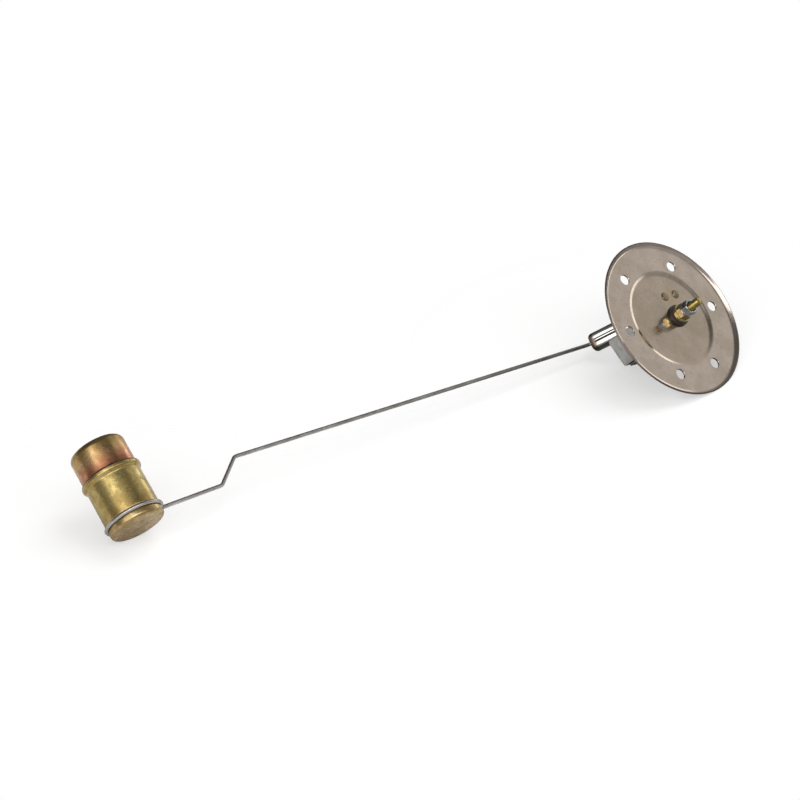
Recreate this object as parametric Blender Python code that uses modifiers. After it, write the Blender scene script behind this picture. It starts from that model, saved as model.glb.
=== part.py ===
"""Fuel level sender: a flanged tank unit with a resistor housing and a hinged float arm.

Units are metres and +Z is up, out of the tank.
The underside of the flange rim, where it seats, is the plane z = 0 with its centre at the origin.
The float arm reaches out along +X and swings about the spindle, which lies along Y.
The arm is drawn at its full-tank stop.
"""

import bpy
import bmesh
from math import cos, pi, radians, sin, sqrt, tan
from mathutils import Matrix, Vector

# General fits
SEAT_GAP = 0.0003
RUNNING_GAP = 0.00005
CUT_MARGIN = 0.001
FACING_STOCK = 0.0005

# Flange plate, a single sheet steel pressing
FLANGE_DIAMETER = 0.0898
SHEET_THICKNESS = 0.0010
PAN_FLOOR_RADIUS = 0.0249
PAN_WALL_RUN = 0.0037
PAN_DEPTH = 0.0008
LIP_BEND_RADIUS = 0.0034
LIP_ANGLE = radians(57.0)
BOLT_CIRCLE_RADIUS = 0.0332
BOLT_HOLE_DIAMETER = 0.0058
BOLT_KEY_ANGLE = radians(91.9)
BOLT_HALF_ANGLES = (radians(24.9), radians(90.0), radians(145.8))

# Terminal stack, from the pan upward
TERMINAL_X = -0.0059
TERMINAL_Y = -0.0007
STUD_DIAMETER = 0.0046
STUD_TOP_Z = 0.0184
BUSH_SLEEVE_DIAMETER = 0.0070
BUSH_HEAD_DIAMETER = 0.0114
BUSH_HEAD_HEIGHT = 0.0013
FIBRE_WASHER_DIAMETER = 0.0098
FIBRE_WASHER_HEIGHT = 0.0006
BRASS_WASHER_DIAMETER = 0.0102
BRASS_WASHER_HEIGHT = 0.0010
LOWER_NUT_FLATS = 0.0080
LOWER_NUT_HEIGHT = 0.0028
PLAIN_WASHER_DIAMETER = 0.0084
PLAIN_WASHER_HEIGHT = 0.0006
TERMINAL_NUT_FLATS = 0.0075
TERMINAL_NUT_HEIGHT = 0.0038
INNER_WASHER_DIAMETER = 0.0096
INNER_WASHER_HEIGHT = 0.0007
STUD_HEAD_DIAMETER = 0.0068
STUD_HEAD_HEIGHT = 0.0008

# Die-cast resistor housing
HOUSING_FRONT_X = 0.0219
HOUSING_REAR_X = -0.0186
HOUSING_NEAR_Y = -0.0049
HOUSING_FAR_Y = 0.0117
HOUSING_DEPTH_NEAR = 0.0276
HOUSING_DEPTH_FAR = 0.0244
HOUSING_WALL = 0.0018
HOUSING_EDGE_RADIUS = 0.0020
POCKET_CLEARANCE = 0.0004
POCKET_WALL = 0.0015
FOOT_THICKNESS = 0.0027
FOOT_FRONT_X = 0.0003
FOOT_REAR_X = -0.0155
FOOT_REACH = 0.0118
RIVET_X = (-0.0035, -0.0116)
RIVET_Y = -0.0127
RIVET_DIAMETER = 0.0028
RIVET_HEAD_DIAMETER = 0.0042
RIVET_HEAD_HEIGHT = 0.0006
COVER_THICKNESS = 0.0008
SCREW_SHANK_DIAMETER = 0.0018
SCREW_HEAD_DIAMETER = 0.0038
SCREW_HEAD_HEIGHT = 0.0013
SCREW_ENGAGEMENT = 0.0050
COVER_BOSS_RADIUS = 0.0022
COVER_SCREW_INSET = 0.0029

# Spindle and its bearing
PIVOT_X = -0.0050
PIVOT_Z = -0.0145
SPINDLE_DIAMETER = 0.0040
SPINDLE_HEAD_DIAMETER = 0.0062
SPINDLE_HEAD_HEIGHT = 0.0010
SPINDLE_BUSH_WALL = 0.0011
BEARING_LENGTH = 0.0059
BEARING_BOSS_WALL = 0.0015

# Resistor card, winding and wiper
SWING = radians(66.0)
WIPER_FULL_ANGLE = radians(31.0)
TRACK_INNER_RADIUS = 0.0082
TRACK_OUTER_RADIUS = 0.0122
WINDOW_WIDTH = 0.0018
CARD_THICKNESS = 0.0014
CARD_POST_X = -0.0110
CARD_POST_SPREAD = 0.0041
CARD_POST_RADIUS = 0.0018
CARD_EDGE = 0.0022
WINDING_WIRE_DIAMETER = 0.0003
WINDING_PITCH = radians(3.6)
WINDING_OVERRUN = radians(3.0)
WIPER_HUB_DIAMETER = 0.0076
WIPER_HUB_LENGTH = 0.0018
WIPER_THICKNESS = 0.0004
WIPER_WIDTH = 0.0030
WIPER_CONTACT_DIAMETER = 0.0022
WIPER_CONTACT_HEIGHT = 0.0009
CLIP_DIAMETER = 0.0066
CLIP_THICKNESS = 0.0006
STRIP_WIDTH = 0.0064
STRIP_THICKNESS = 0.0004
STRIP_DROP = 0.0096
STRIP_LEG_WIDTH = 0.0030
EYELET_DIAMETER = 0.0016

# Lever, a pressed channel that carries the float wire
LEVER_DIP = radians(52.0)
LEVER_REACH = 0.0378
LEVER_HEEL = 0.0050
LEVER_WIDTH = 0.0098
LEVER_WEB_HEIGHT = 0.0034
LEVER_CHEEK_DEPTH = 0.0036
LEVER_SHEET = 0.0009
LEVER_EDGE_RADIUS = 0.0026
LEVER_SIDE_GAP = 0.0004
NOSE_SETBACK = 0.0010
RIB_WIDTH = 0.0016
GROOVE_DEPTH = 0.0004
CLAMP_LENGTH = 0.0060
CLAMP_START = 0.0130
CLAMP_HEIGHT = 0.0044
STOP_RADIUS = 0.0015
STOP_DISTANCE = 0.0090
STOP_LENGTH = 0.0040

# Float wire
WIRE_DIAMETER = 0.0020
WIRE_INNER_START = 0.0100
WIRE_DIP = radians(9.1)
WIRE_MAIN_LENGTH = 0.2269
JOGGLE_RUN = 0.0128
JOGGLE_OFFSET = 0.0119
WIRE_TAIL_LENGTH = 0.0364
TAIL_SET = radians(2.2)
LOOP_TWIST = radians(7.0)
BEND_RADIUS = 0.0030
LOOP_OPENING = radians(15.0)

# Float, two drawn brass cups soldered together
FLOAT_LENGTH = 0.0459
LOWER_CUP_DIAMETER = 0.0288
UPPER_CUP_DIAMETER = 0.0286
MOUTH_DIAMETER = 0.0314
MOUTH_LENGTH = 0.0020
UPPER_CUP_EXPOSED = 0.0170
SEAM_ROOT = 0.0012
CUP_WALL = 0.0005
UPPER_CORNER_RADIUS = 0.0034
LOWER_CORNER_RADIUS = 0.0018
LOOP_SEAT_DEPTH = 0.0010
LOOP_FROM_END = 0.0051

# Values that follow from the sizes above
FLANGE_RADIUS = FLANGE_DIAMETER / 2
SEAT_OUTER_RADIUS = FLANGE_RADIUS - (LIP_BEND_RADIUS + SHEET_THICKNESS) * sin(LIP_ANGLE)
PAN_TOP_Z = SHEET_THICKNESS - PAN_DEPTH
PAN_UNDER_Z = PAN_TOP_Z - SHEET_THICKNESS
ROOF_TOP_Z = PAN_UNDER_Z - SEAT_GAP
ROOF_UNDER_Z = ROOF_TOP_Z - HOUSING_WALL
POCKET_DIAMETER = INNER_WASHER_DIAMETER + 2 * POCKET_CLEARANCE
STUD_BORE_DIAMETER = STUD_DIAMETER + 2 * SEAT_GAP
BUSH_BORE_DIAMETER = BUSH_SLEEVE_DIAMETER + 2 * SEAT_GAP
SPINDLE_BORE_DIAMETER = SPINDLE_DIAMETER + 2 * RUNNING_GAP
SPINDLE_BUSH_DIAMETER = SPINDLE_BORE_DIAMETER + 2 * SPINDLE_BUSH_WALL
BOSS_BORE_DIAMETER = SPINDLE_BUSH_DIAMETER + 2 * SEAT_GAP
BEARING_END_Y = HOUSING_NEAR_Y + BEARING_LENGTH
LEVER_Y = HOUSING_NEAR_Y - LEVER_SIDE_GAP - LEVER_WIDTH / 2
LEVER_OUTER_Y = LEVER_Y - LEVER_WIDTH / 2
WIPER_HUB_Y = BEARING_END_Y + SEAT_GAP
WIPER_Y = WIPER_HUB_Y + WIPER_HUB_LENGTH + SEAT_GAP
CLIP_Y = WIPER_Y + WIPER_THICKNESS + SEAT_GAP
CONTACT_Y = WIPER_Y + WIPER_THICKNESS + SEAT_GAP
WINDING_FRONT_Y = CONTACT_Y + WIPER_CONTACT_HEIGHT + SEAT_GAP
CARD_Y = WINDING_FRONT_Y + WINDING_WIRE_DIAMETER + SEAT_GAP
CARD_BACK_Y = CARD_Y + CARD_THICKNESS
TRACK_MIDDLE_RADIUS = (TRACK_INNER_RADIUS + TRACK_OUTER_RADIUS) / 2
COVER_Y = HOUSING_FAR_Y + SEAT_GAP
LOOP_RADIUS = LOWER_CUP_DIAMETER / 2 - LOOP_SEAT_DEPTH + SEAT_GAP + WIRE_DIAMETER / 2
SCREW_BORE_DIAMETER = SCREW_SHANK_DIAMETER + 2 * SEAT_GAP

# Frames that the pieces are placed in
PIVOT = Vector((PIVOT_X, 0.0, PIVOT_Z))
ALONG_Y = Matrix.Rotation(radians(-90.0), 4, "X")
LEVER_FRAME = (
    Matrix.Translation((PIVOT_X, LEVER_Y, PIVOT_Z)) @ Matrix.Rotation(LEVER_DIP, 4, "Y")
)


def clear_scene():
    for item in list(bpy.data.objects):
        bpy.data.objects.remove(item, do_unlink=True)


def make_material(name, colour, metallic, roughness):
    material = bpy.data.materials.new(name)
    material.use_nodes = True
    shader = material.node_tree.nodes["Principled BSDF"]
    shader.inputs["Base Color"].default_value = (*colour, 1.0)
    shader.inputs["Metallic"].default_value = metallic
    shader.inputs["Roughness"].default_value = roughness
    material.diffuse_color = (*colour, 1.0)
    return material


def make_materials():
    return {
        "stainless": make_material("stainless_sheet", (0.56, 0.53, 0.50), 1.0, 0.22),
        "zinc_cast": make_material("zinc_casting", (0.42, 0.42, 0.41), 0.9, 0.55),
        "bright_plate": make_material("bright_plating", (0.82, 0.82, 0.80), 1.0, 0.12),
        "brass": make_material("brass", (0.62, 0.45, 0.18), 1.0, 0.30),
        "float_brass": make_material("float_brass", (0.55, 0.42, 0.16), 1.0, 0.38),
        "copper_tint": make_material("heat_stained_brass", (0.58, 0.34, 0.20), 1.0, 0.40),
        "zinc_plate": make_material("zinc_plating", (0.56, 0.60, 0.63), 1.0, 0.25),
        "bakelite": make_material("moulded_insulator", (0.03, 0.025, 0.02), 0.0, 0.45),
        "fibre": make_material("red_fibre", (0.36, 0.09, 0.05), 0.0, 0.60),
        "steel_wire": make_material("steel_wire", (0.42, 0.41, 0.40), 1.0, 0.35),
        "solder": make_material("solder", (0.55, 0.53, 0.50), 1.0, 0.40),
        "resistance": make_material("resistance_wire", (0.50, 0.38, 0.28), 1.0, 0.35),
    }


def get_collection(name):
    found = bpy.data.collections.get(name)
    if found is None:
        found = bpy.data.collections.new(name)
        bpy.context.scene.collection.children.link(found)
    return found


def add_object(name, mesh, material, frame=None):
    item = bpy.data.objects.new(name, mesh)
    get_collection("Sender").objects.link(item)
    item.data.materials.append(material)
    if frame is not None:
        item.matrix_world = frame
    return item


def combine(target, tools, operation, label):
    """Apply a group of hidden tool shapes to a target in one Boolean step."""
    group = bpy.data.collections.new(target.name + "_" + label)
    get_collection("Tool shapes").children.link(group)
    for tool in tools:
        for holder in list(tool.users_collection):
            holder.objects.unlink(tool)
        group.objects.link(tool)
        tool.hide_render = True
        tool.display_type = "WIRE"
    step = target.modifiers.new(label, "BOOLEAN")
    step.operand_type = "COLLECTION"
    step.collection = group
    step.operation = operation
    step.solver = "EXACT"


def cut(target, *tools, label="cuts"):
    combine(target, tools, "DIFFERENCE", label)


def join(target, *tools, label="additions"):
    combine(target, tools, "UNION", label)


def arc(centre, radius, start, end, steps):
    """Points along an arc in a plane, both ends included."""
    turn = (end - start) / steps
    angles = [start + turn * i for i in range(steps + 1)]
    return [(centre[0] + radius * cos(a), centre[1] + radius * sin(a)) for a in angles]


def revolve(name, profile, material, frame=None, closed=False, steps=40):
    """Spin a profile of (radius, height) points about the local Z axis."""
    mesh = bpy.data.meshes.new(name)
    points = [(radius, 0.0, height) for radius, height in profile]
    edges = [(i, i + 1) for i in range(len(points) - 1)]
    if closed:
        edges.append((len(points) - 1, 0))
    mesh.from_pydata(points, edges, [])
    item = add_object(name, mesh, material, frame)
    spin = item.modifiers.new("Revolve", "SCREW")
    spin.steps = steps
    spin.render_steps = steps
    spin.use_merge_vertices = True
    spin.merge_threshold = 0.00001
    return item


def rod(name, diameter, bottom, top, material, frame=None, steps=24):
    radius = diameter / 2
    profile = [(0.0, top), (radius, top), (radius, bottom), (0.0, bottom)]
    return revolve(name, profile, material, frame, steps=steps)


def ring(name, outer, inner, bottom, top, material, frame=None, steps=24):
    profile = [
        (inner / 2, top),
        (outer / 2, top),
        (outer / 2, bottom),
        (inner / 2, bottom),
    ]
    return revolve(name, profile, material, frame, closed=True, steps=steps)


def prism(name, outline, low, high, material, frame=None):
    """Raise a flat outline of (x, y) points from low to high along local Z."""
    mesh = bpy.data.meshes.new(name)
    build = bmesh.new()
    lower = [build.verts.new((x, y, low)) for x, y in outline]
    upper = [build.verts.new((x, y, high)) for x, y in outline]
    count = len(outline)
    build.faces.new(lower)
    build.faces.new(upper)
    for i in range(count):
        follower = (i + 1) % count
        build.faces.new((lower[i], lower[follower], upper[follower], upper[i]))
    bmesh.ops.recalc_face_normals(build, faces=build.faces)
    build.to_mesh(mesh)
    build.free()
    return add_object(name, mesh, material, frame)


def block(name, low, high, material, frame=None):
    outline = [(low[0], low[1]), (high[0], low[1]), (high[0], high[1]), (low[0], high[1])]
    return prism(name, outline, low[2], high[2], material, frame)


def round_edges(item, radius, steps, chosen):
    """Round the edges of a plain mesh whose middle point passes the test."""
    build = bmesh.new()
    build.from_mesh(item.data)
    edges = [e for e in build.edges if chosen((e.verts[0].co + e.verts[1].co) / 2)]
    bmesh.ops.bevel(
        build, geom=edges, offset=radius, segments=steps, profile=0.5, affect="EDGES"
    )
    build.to_mesh(item.data)
    build.free()


def hexagon(flats):
    radius = flats / sqrt(3)
    return arc((0.0, 0.0), radius, 0.0, 5 * pi / 3, 5)


def nut(name, flats, bore, bottom, top, material, frame):
    """A hexagon nut with its upper corners turned off."""
    item = prism(name, hexagon(flats), bottom, top, material, frame)
    corner = flats / sqrt(3)
    height = top - bottom
    cap = [
        (0.0, top + CUT_MARGIN),
        (corner + CUT_MARGIN, top + CUT_MARGIN),
        (corner + CUT_MARGIN, top - height * 0.2),
        (flats / 2 - 0.0001, top + 0.0001),
        (0.0, top + 0.0001),
    ]
    chamfer = revolve(name + "_chamfer", cap, material, frame, steps=24)
    cut(item, chamfer, label="chamfer")
    hole = rod(name + "_bore", bore, bottom - CUT_MARGIN, top + CUT_MARGIN, material, frame)
    cut(item, hole, label="bore")
    return item


def rounded_path(corners, radius, steps):
    """Replace each inner corner of a 3D path with a short arc."""
    path = [corners[0]]
    for before, corner, after in zip(corners, corners[1:], corners[2:]):
        back = (before - corner).normalized()
        ahead = (after - corner).normalized()
        half = back.angle(ahead) / 2
        reach = min(radius / tan(half), (after - corner).length * 0.8)
        size = reach * tan(half)
        middle = (back + ahead).normalized()
        centre = corner + middle * (size / sin(half))
        start = corner + back * reach - centre
        end = corner + ahead * reach - centre
        axis = start.cross(end)
        turn = start.angle(end)
        for i in range(steps + 1):
            path.append(centre + Matrix.Rotation(turn * i / steps, 3, axis) @ start)
    path.append(corners[-1])
    return path


def round_wire(name, path, diameter, material, sides_setting):
    """A solid round wire with closed ends along a 3D path."""
    curve = bpy.data.curves.new(name + "_path", "CURVE")
    curve.dimensions = "3D"
    curve.bevel_depth = diameter / 2
    curve.bevel_resolution = sides_setting
    curve.use_fill_caps = True
    spline = curve.splines.new("POLY")
    spline.points.add(len(path) - 1)
    for point, place in zip(spline.points, path):
        point.co = (*place, 1.0)
    source = bpy.data.objects.new(name + "_path", curve)
    bpy.context.scene.collection.objects.link(source)
    bpy.context.view_layer.update()
    mesh = bpy.data.meshes.new_from_object(source)
    bpy.data.objects.remove(source, do_unlink=True)
    build = bmesh.new()
    build.from_mesh(mesh)
    bmesh.ops.remove_doubles(build, verts=build.verts, dist=0.000001)
    bmesh.ops.recalc_face_normals(build, faces=build.faces)
    build.to_mesh(mesh)
    build.free()
    mesh.name = name
    mesh.materials.clear()
    return add_object(name, mesh, material)


def belt_outline(first, first_radius, second, second_radius, steps):
    """Outline of two circles joined by straight sides."""
    line = Vector(second) - Vector(first)
    heading = Vector((1.0, 0.0)).angle_signed(line) * -1
    lean = pi / 2 - (first_radius - second_radius) / line.length
    points = arc(first, first_radius, heading + lean, heading + 2 * pi - lean, steps)
    points += arc(second, second_radius, heading - lean, heading + lean, steps)
    return points


def band_outline(centre, inner, outer, start, end, steps):
    points = arc(centre, outer, start, end, steps)
    points += arc(centre, inner, end, start, steps)
    return points


def side_frame(y):
    """Frame whose local X, Y plane is the world X, Z plane, facing -Y at the given y."""
    return Matrix.Translation((0.0, y, 0.0)) @ Matrix.Rotation(radians(90.0), 4, "X")


def side_plate(name, outline, near, far, material):
    """Plate with an outline of world (x, z) points, from near to far along world Y."""
    return prism(name, outline, -(far - near), 0.0, material, side_frame(near))


def spindle_ring(name, outer, inner, near, far, material, steps=24):
    frame = Matrix.Translation(PIVOT) @ ALONG_Y
    return ring(name, outer, inner, near, far, material, frame, steps)


def spindle_rod(name, diameter, near, far, material, steps=24):
    frame = Matrix.Translation(PIVOT) @ ALONG_Y
    return rod(name, diameter, near, far, material, frame, steps)


def cross_rod(name, x, z, diameter, near, far, material, steps=20):
    """Round bar along world Y through the world point (x, z)."""
    frame = Matrix.Translation((x, 0.0, z)) @ ALONG_Y
    return rod(name, diameter, near, far, material, frame, steps)


def bolt_places():
    angles = []
    for half in BOLT_HALF_ANGLES:
        angles.append(BOLT_KEY_ANGLE + half)
        angles.append(BOLT_KEY_ANGLE - half)
    return arc_points(angles, BOLT_CIRCLE_RADIUS)


def arc_points(angles, radius):
    return [(radius * cos(a), radius * sin(a)) for a in angles]


def flange_face(depth):
    """Half section of one face of the pressing, at a depth below its upper face."""
    steps = 4
    face = [(0.0, PAN_TOP_Z - depth)]
    for i in range(steps + 1):
        share = i / steps
        rise = PAN_DEPTH * (1 - cos(pi * share)) / 2
        face.append((PAN_FLOOR_RADIUS + PAN_WALL_RUN * share, PAN_TOP_Z - depth + rise))
    bend = (SEAT_OUTER_RADIUS, SHEET_THICKNESS + LIP_BEND_RADIUS)
    return face + arc(bend, LIP_BEND_RADIUS + depth, -pi / 2, LIP_ANGLE - pi / 2, 4)


def make_flange(materials):
    steel = materials["stainless"]
    section = flange_face(0.0) + flange_face(SHEET_THICKNESS)[::-1]
    plate = revolve("flange_plate", section, steel, steps=60)
    low = PAN_UNDER_Z - CUT_MARGIN
    high = SHEET_THICKNESS + CUT_MARGIN
    place = Matrix.Translation((TERMINAL_X, TERMINAL_Y, 0.0))
    holes = [rod("terminal_hole", BUSH_BORE_DIAMETER, low, high, steel, place, 28)]
    for number, (x, y) in enumerate(bolt_places(), 1):
        place = Matrix.Translation((x, y, 0.0))
        name = "bolt_hole_" + str(number)
        holes.append(rod(name, BOLT_HOLE_DIAMETER, low, high, steel, place, 28))
    holes += rivet_holes("plate_rivet_hole_", low, high, steel)
    cut(plate, *holes, label="holes")
    return plate


def rivet_holes(name, low, high, material):
    bore = RIVET_DIAMETER + 2 * SEAT_GAP
    holes = []
    for number, x in enumerate(RIVET_X, 1):
        place = Matrix.Translation((x, RIVET_Y, 0.0))
        holes.append(rod(name + str(number), bore, low, high, material, place, 20))
    return holes


def housing_outline(inset):
    """Section of the housing across X, as (y, z) points, drawn in by the wall."""
    roof = ROOF_TOP_Z + FACING_STOCK
    far = HOUSING_FAR_Y + FACING_STOCK
    if inset > 0.0:
        roof = ROOF_TOP_Z - inset
        far = HOUSING_FAR_Y + 2 * FACING_STOCK
    slope = (HOUSING_DEPTH_NEAR - HOUSING_DEPTH_FAR) / (HOUSING_FAR_Y - HOUSING_NEAR_Y)
    near = HOUSING_NEAR_Y + inset
    floor = ROOF_TOP_Z - HOUSING_DEPTH_NEAR + inset
    return [
        (near, roof),
        (near, floor + slope * (near - HOUSING_NEAR_Y)),
        (far, floor + slope * (far - HOUSING_NEAR_Y)),
        (far, roof),
    ]


def housing_body(name, inset, material):
    """The box or its cavity: the section drawn out along X."""
    frame = Matrix(((0, 0, 1, 0), (1, 0, 0, 0), (0, 1, 0, 0), (0, 0, 0, 1)))
    rear = HOUSING_REAR_X + inset
    front = HOUSING_FRONT_X - inset
    return prism(name, housing_outline(inset), rear, front, material, frame)


def is_lower_outer_edge(middle):
    """True for the housing edges away from the flange and the open side."""
    return middle.y < ROOF_TOP_Z - HOUSING_WALL or middle.x < HOUSING_NEAR_Y + 0.0001


def stop_places():
    """World (x, z) of the lugs that stop the lever at full and at empty."""
    full_dip = LEVER_DIP
    empty_dip = LEVER_DIP + SWING
    above = LEVER_WEB_HEIGHT + SEAT_GAP + STOP_RADIUS
    below = LEVER_CHEEK_DEPTH + SEAT_GAP + STOP_RADIUS
    full = (
        PIVOT_X + STOP_DISTANCE * cos(full_dip) + above * sin(full_dip),
        PIVOT_Z - STOP_DISTANCE * sin(full_dip) + above * cos(full_dip),
    )
    empty = (
        PIVOT_X + STOP_DISTANCE * cos(empty_dip) - below * sin(empty_dip),
        PIVOT_Z - STOP_DISTANCE * sin(empty_dip) - below * cos(empty_dip),
    )
    return {"full": full, "empty": empty}


def cover_screw_places():
    middle = ROOF_TOP_Z - HOUSING_DEPTH_FAR / 2
    return {
        "front": (HOUSING_FRONT_X - COVER_SCREW_INSET, middle),
        "rear": (HOUSING_REAR_X + COVER_SCREW_INSET, middle),
    }


def card_screw_places():
    return {
        "upper": (CARD_POST_X, PIVOT_Z + CARD_POST_SPREAD),
        "lower": (CARD_POST_X, PIVOT_Z - CARD_POST_SPREAD),
    }


def housing_bosses(cast):
    inside = HOUSING_NEAR_Y + HOUSING_WALL * 0.3
    lug_root = HOUSING_NEAR_Y + HOUSING_WALL * 0.7
    rim = HOUSING_FAR_Y + FACING_STOCK / 2
    boss_diameter = BOSS_BORE_DIAMETER + 2 * BEARING_BOSS_WALL
    bosses = [spindle_rod("bearing_boss", boss_diameter, inside, BEARING_END_Y, cast)]
    for side, (x, z) in cover_screw_places().items():
        name = "cover_boss_" + side
        bosses.append(cross_rod(name, x, z, 2 * COVER_BOSS_RADIUS, inside, rim, cast))
    for side, (x, z) in card_screw_places().items():
        name = "card_post_" + side
        top = CARD_Y - SEAT_GAP
        bosses.append(cross_rod(name, x, z, 2 * CARD_POST_RADIUS, inside, top, cast))
    for side, (x, z) in stop_places().items():
        name = "stop_lug_" + side
        tip = HOUSING_NEAR_Y - STOP_LENGTH
        bosses.append(cross_rod(name, x, z, 2 * STOP_RADIUS, tip, lug_root, cast))
    return bosses


def pocket_floor():
    return terminal_levels()["stud"] - POCKET_CLEARANCE


def terminal_boss(cast):
    """Round boss under the roof that holds the pocket for the stud head."""
    place = Matrix.Translation((TERMINAL_X, TERMINAL_Y, 0.0))
    diameter = POCKET_DIAMETER + 2 * POCKET_WALL
    low = pocket_floor() - POCKET_WALL
    high = ROOF_TOP_Z + FACING_STOCK * 0.3
    return rod("terminal_boss", diameter, low, high, cast, place, 28)


def housing_foot(cast):
    """Flat foot with rounded corners, beside the box and flush with its roof."""
    corner = FOOT_THICKNESS
    near = HOUSING_NEAR_Y - FOOT_REACH + corner
    root = HOUSING_NEAR_Y + HOUSING_WALL * 0.5
    outline = [(FOOT_FRONT_X, root), (FOOT_REAR_X, root)]
    outline += arc((FOOT_REAR_X + corner, near), corner, pi, 1.5 * pi, 5)
    outline += arc((FOOT_FRONT_X - corner, near), corner, 1.5 * pi, 2 * pi, 5)
    low = ROOF_TOP_Z - FOOT_THICKNESS
    return prism("foot", outline, low, ROOF_TOP_Z + FACING_STOCK * 0.6, cast)


def facing_cuts(cast):
    """Slabs that take the seat on the pan and the rim under the cover to their true planes."""
    reach = FLANGE_RADIUS
    high = ROOF_TOP_Z + 4 * FACING_STOCK
    far = HOUSING_FAR_Y + 4 * FACING_STOCK
    roof = block("roof_facing", (-reach, -reach, ROOF_TOP_Z), (reach, reach, high), cast)
    rim = block("rim_facing", (-reach, HOUSING_FAR_Y, -reach), (reach, far, high), cast)
    return [roof, rim]


def terminal_cuts(cast):
    """Pocket for the stud head, and the slot that leads the contact strip inside."""
    place = Matrix.Translation((TERMINAL_X, TERMINAL_Y, 0.0))
    high = ROOF_TOP_Z + CUT_MARGIN
    pocket = rod("terminal_pocket", POCKET_DIAMETER, pocket_floor(), high, cast, place, 28)
    side = STRIP_WIDTH / 2 + POCKET_CLEARANCE
    strip_back = CARD_BACK_Y + 2 * SEAT_GAP + STRIP_THICKNESS + POCKET_CLEARANCE
    slot_low = (TERMINAL_X - side, TERMINAL_Y, ROOF_UNDER_Z - CUT_MARGIN / 2)
    slot_high = (TERMINAL_X + side, strip_back, high + CUT_MARGIN / 2)
    return [pocket, block("strip_slot", slot_low, slot_high, cast)]


def housing_bores(cast):
    start = HOUSING_NEAR_Y - CUT_MARGIN
    end = BEARING_END_Y + CUT_MARGIN
    bores = [spindle_rod("bearing_bore", BOSS_BORE_DIAMETER, start, end, cast)]
    depth = SCREW_ENGAGEMENT + SEAT_GAP
    for side, (x, z) in cover_screw_places().items():
        near = HOUSING_FAR_Y - depth
        far = HOUSING_FAR_Y + CUT_MARGIN
        name = "cover_thread_" + side
        bores.append(cross_rod(name, x, z, SCREW_BORE_DIAMETER, near, far, cast))
    for side, (x, z) in card_screw_places().items():
        top = CARD_Y - SEAT_GAP
        name = "card_thread_" + side
        bores.append(cross_rod(name, x, z, SCREW_BORE_DIAMETER, top - depth, top + CUT_MARGIN, cast))
    low = ROOF_TOP_Z - FOOT_THICKNESS - CUT_MARGIN
    bores += rivet_holes("foot_rivet_hole_", low, ROOF_TOP_Z + CUT_MARGIN, cast)
    return bores


def make_housing(materials):
    cast = materials["zinc_cast"]
    body = housing_body("housing", 0.0, cast)
    round_edges(body, HOUSING_EDGE_RADIUS, 3, is_lower_outer_edge)
    cut(body, housing_body("housing_cavity", HOUSING_WALL, cast), label="cavity")
    join(body, *housing_bosses(cast), terminal_boss(cast), housing_foot(cast))
    cut(body, *facing_cuts(cast), *terminal_cuts(cast), *housing_bores(cast), label="machining")
    return body


def screw(name, x, z, head_y, reach, material):
    """A cheese-head screw that points along -Y from its head at head_y."""
    profile = [
        (0.0, head_y + SCREW_HEAD_HEIGHT),
        (SCREW_HEAD_DIAMETER * 0.42, head_y + SCREW_HEAD_HEIGHT),
        (SCREW_HEAD_DIAMETER / 2, head_y + SCREW_HEAD_HEIGHT * 0.7),
        (SCREW_HEAD_DIAMETER / 2, head_y),
        (SCREW_SHANK_DIAMETER / 2, head_y),
        (SCREW_SHANK_DIAMETER / 2, head_y - reach),
        (0.0, head_y - reach),
    ]
    frame = Matrix.Translation((x, 0.0, z)) @ ALONG_Y
    item = revolve(name, profile, material, frame, steps=20)
    half = SCREW_HEAD_DIAMETER
    slot = block(
        name + "_slot",
        (-half, -0.0003, head_y + SCREW_HEAD_HEIGHT * 0.5),
        (half, 0.0003, head_y + SCREW_HEAD_HEIGHT + CUT_MARGIN),
        material,
        frame,
    )
    cut(item, slot, label="slot")
    return item


def make_cover(materials):
    steel = materials["zinc_plate"]
    inset = SEAT_GAP
    top = ROOF_TOP_Z - inset
    bottom = ROOF_TOP_Z - HOUSING_DEPTH_FAR + inset
    rear = HOUSING_REAR_X + inset
    front = HOUSING_FRONT_X - inset
    corner = HOUSING_EDGE_RADIUS
    outline = [(front, top), (rear, top)]
    outline += arc((rear + corner, bottom + corner), corner, pi, 1.5 * pi, 4)
    outline += arc((front - corner, bottom + corner), corner, -0.5 * pi, 0.0, 4)
    cover = side_plate("housing_cover", outline, COVER_Y, COVER_Y + COVER_THICKNESS, steel)
    near = COVER_Y - CUT_MARGIN
    far = COVER_Y + COVER_THICKNESS + CUT_MARGIN
    head = COVER_Y + COVER_THICKNESS + SEAT_GAP
    reach = head - HOUSING_FAR_Y + SCREW_ENGAGEMENT
    holes = []
    for side, (x, z) in cover_screw_places().items():
        name = "cover_hole_" + side
        holes.append(cross_rod(name, x, z, SCREW_BORE_DIAMETER, near, far, steel))
        screw("cover_screw_" + side, x, z, head, reach, materials["zinc_plate"])
    cut(cover, *holes, label="holes")


def make_rivets(materials):
    head_bottom = PAN_TOP_Z + SEAT_GAP
    tail_top = ROOF_TOP_Z - FOOT_THICKNESS - SEAT_GAP
    shank = RIVET_DIAMETER / 2
    head = RIVET_HEAD_DIAMETER / 2
    profile = [
        (0.0, head_bottom + RIVET_HEAD_HEIGHT),
        (head * 0.55, head_bottom + RIVET_HEAD_HEIGHT),
        (head, head_bottom + RIVET_HEAD_HEIGHT * 0.3),
        (head, head_bottom),
        (shank, head_bottom),
        (shank, tail_top),
        (head, tail_top),
        (head, tail_top - RIVET_HEAD_HEIGHT),
        (0.0, tail_top - RIVET_HEAD_HEIGHT),
    ]
    for side, x in zip(("front", "rear"), RIVET_X):
        place = Matrix.Translation((x, RIVET_Y, 0.0))
        revolve("foot_rivet_" + side, profile, materials["brass"], place, steps=24)


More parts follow.
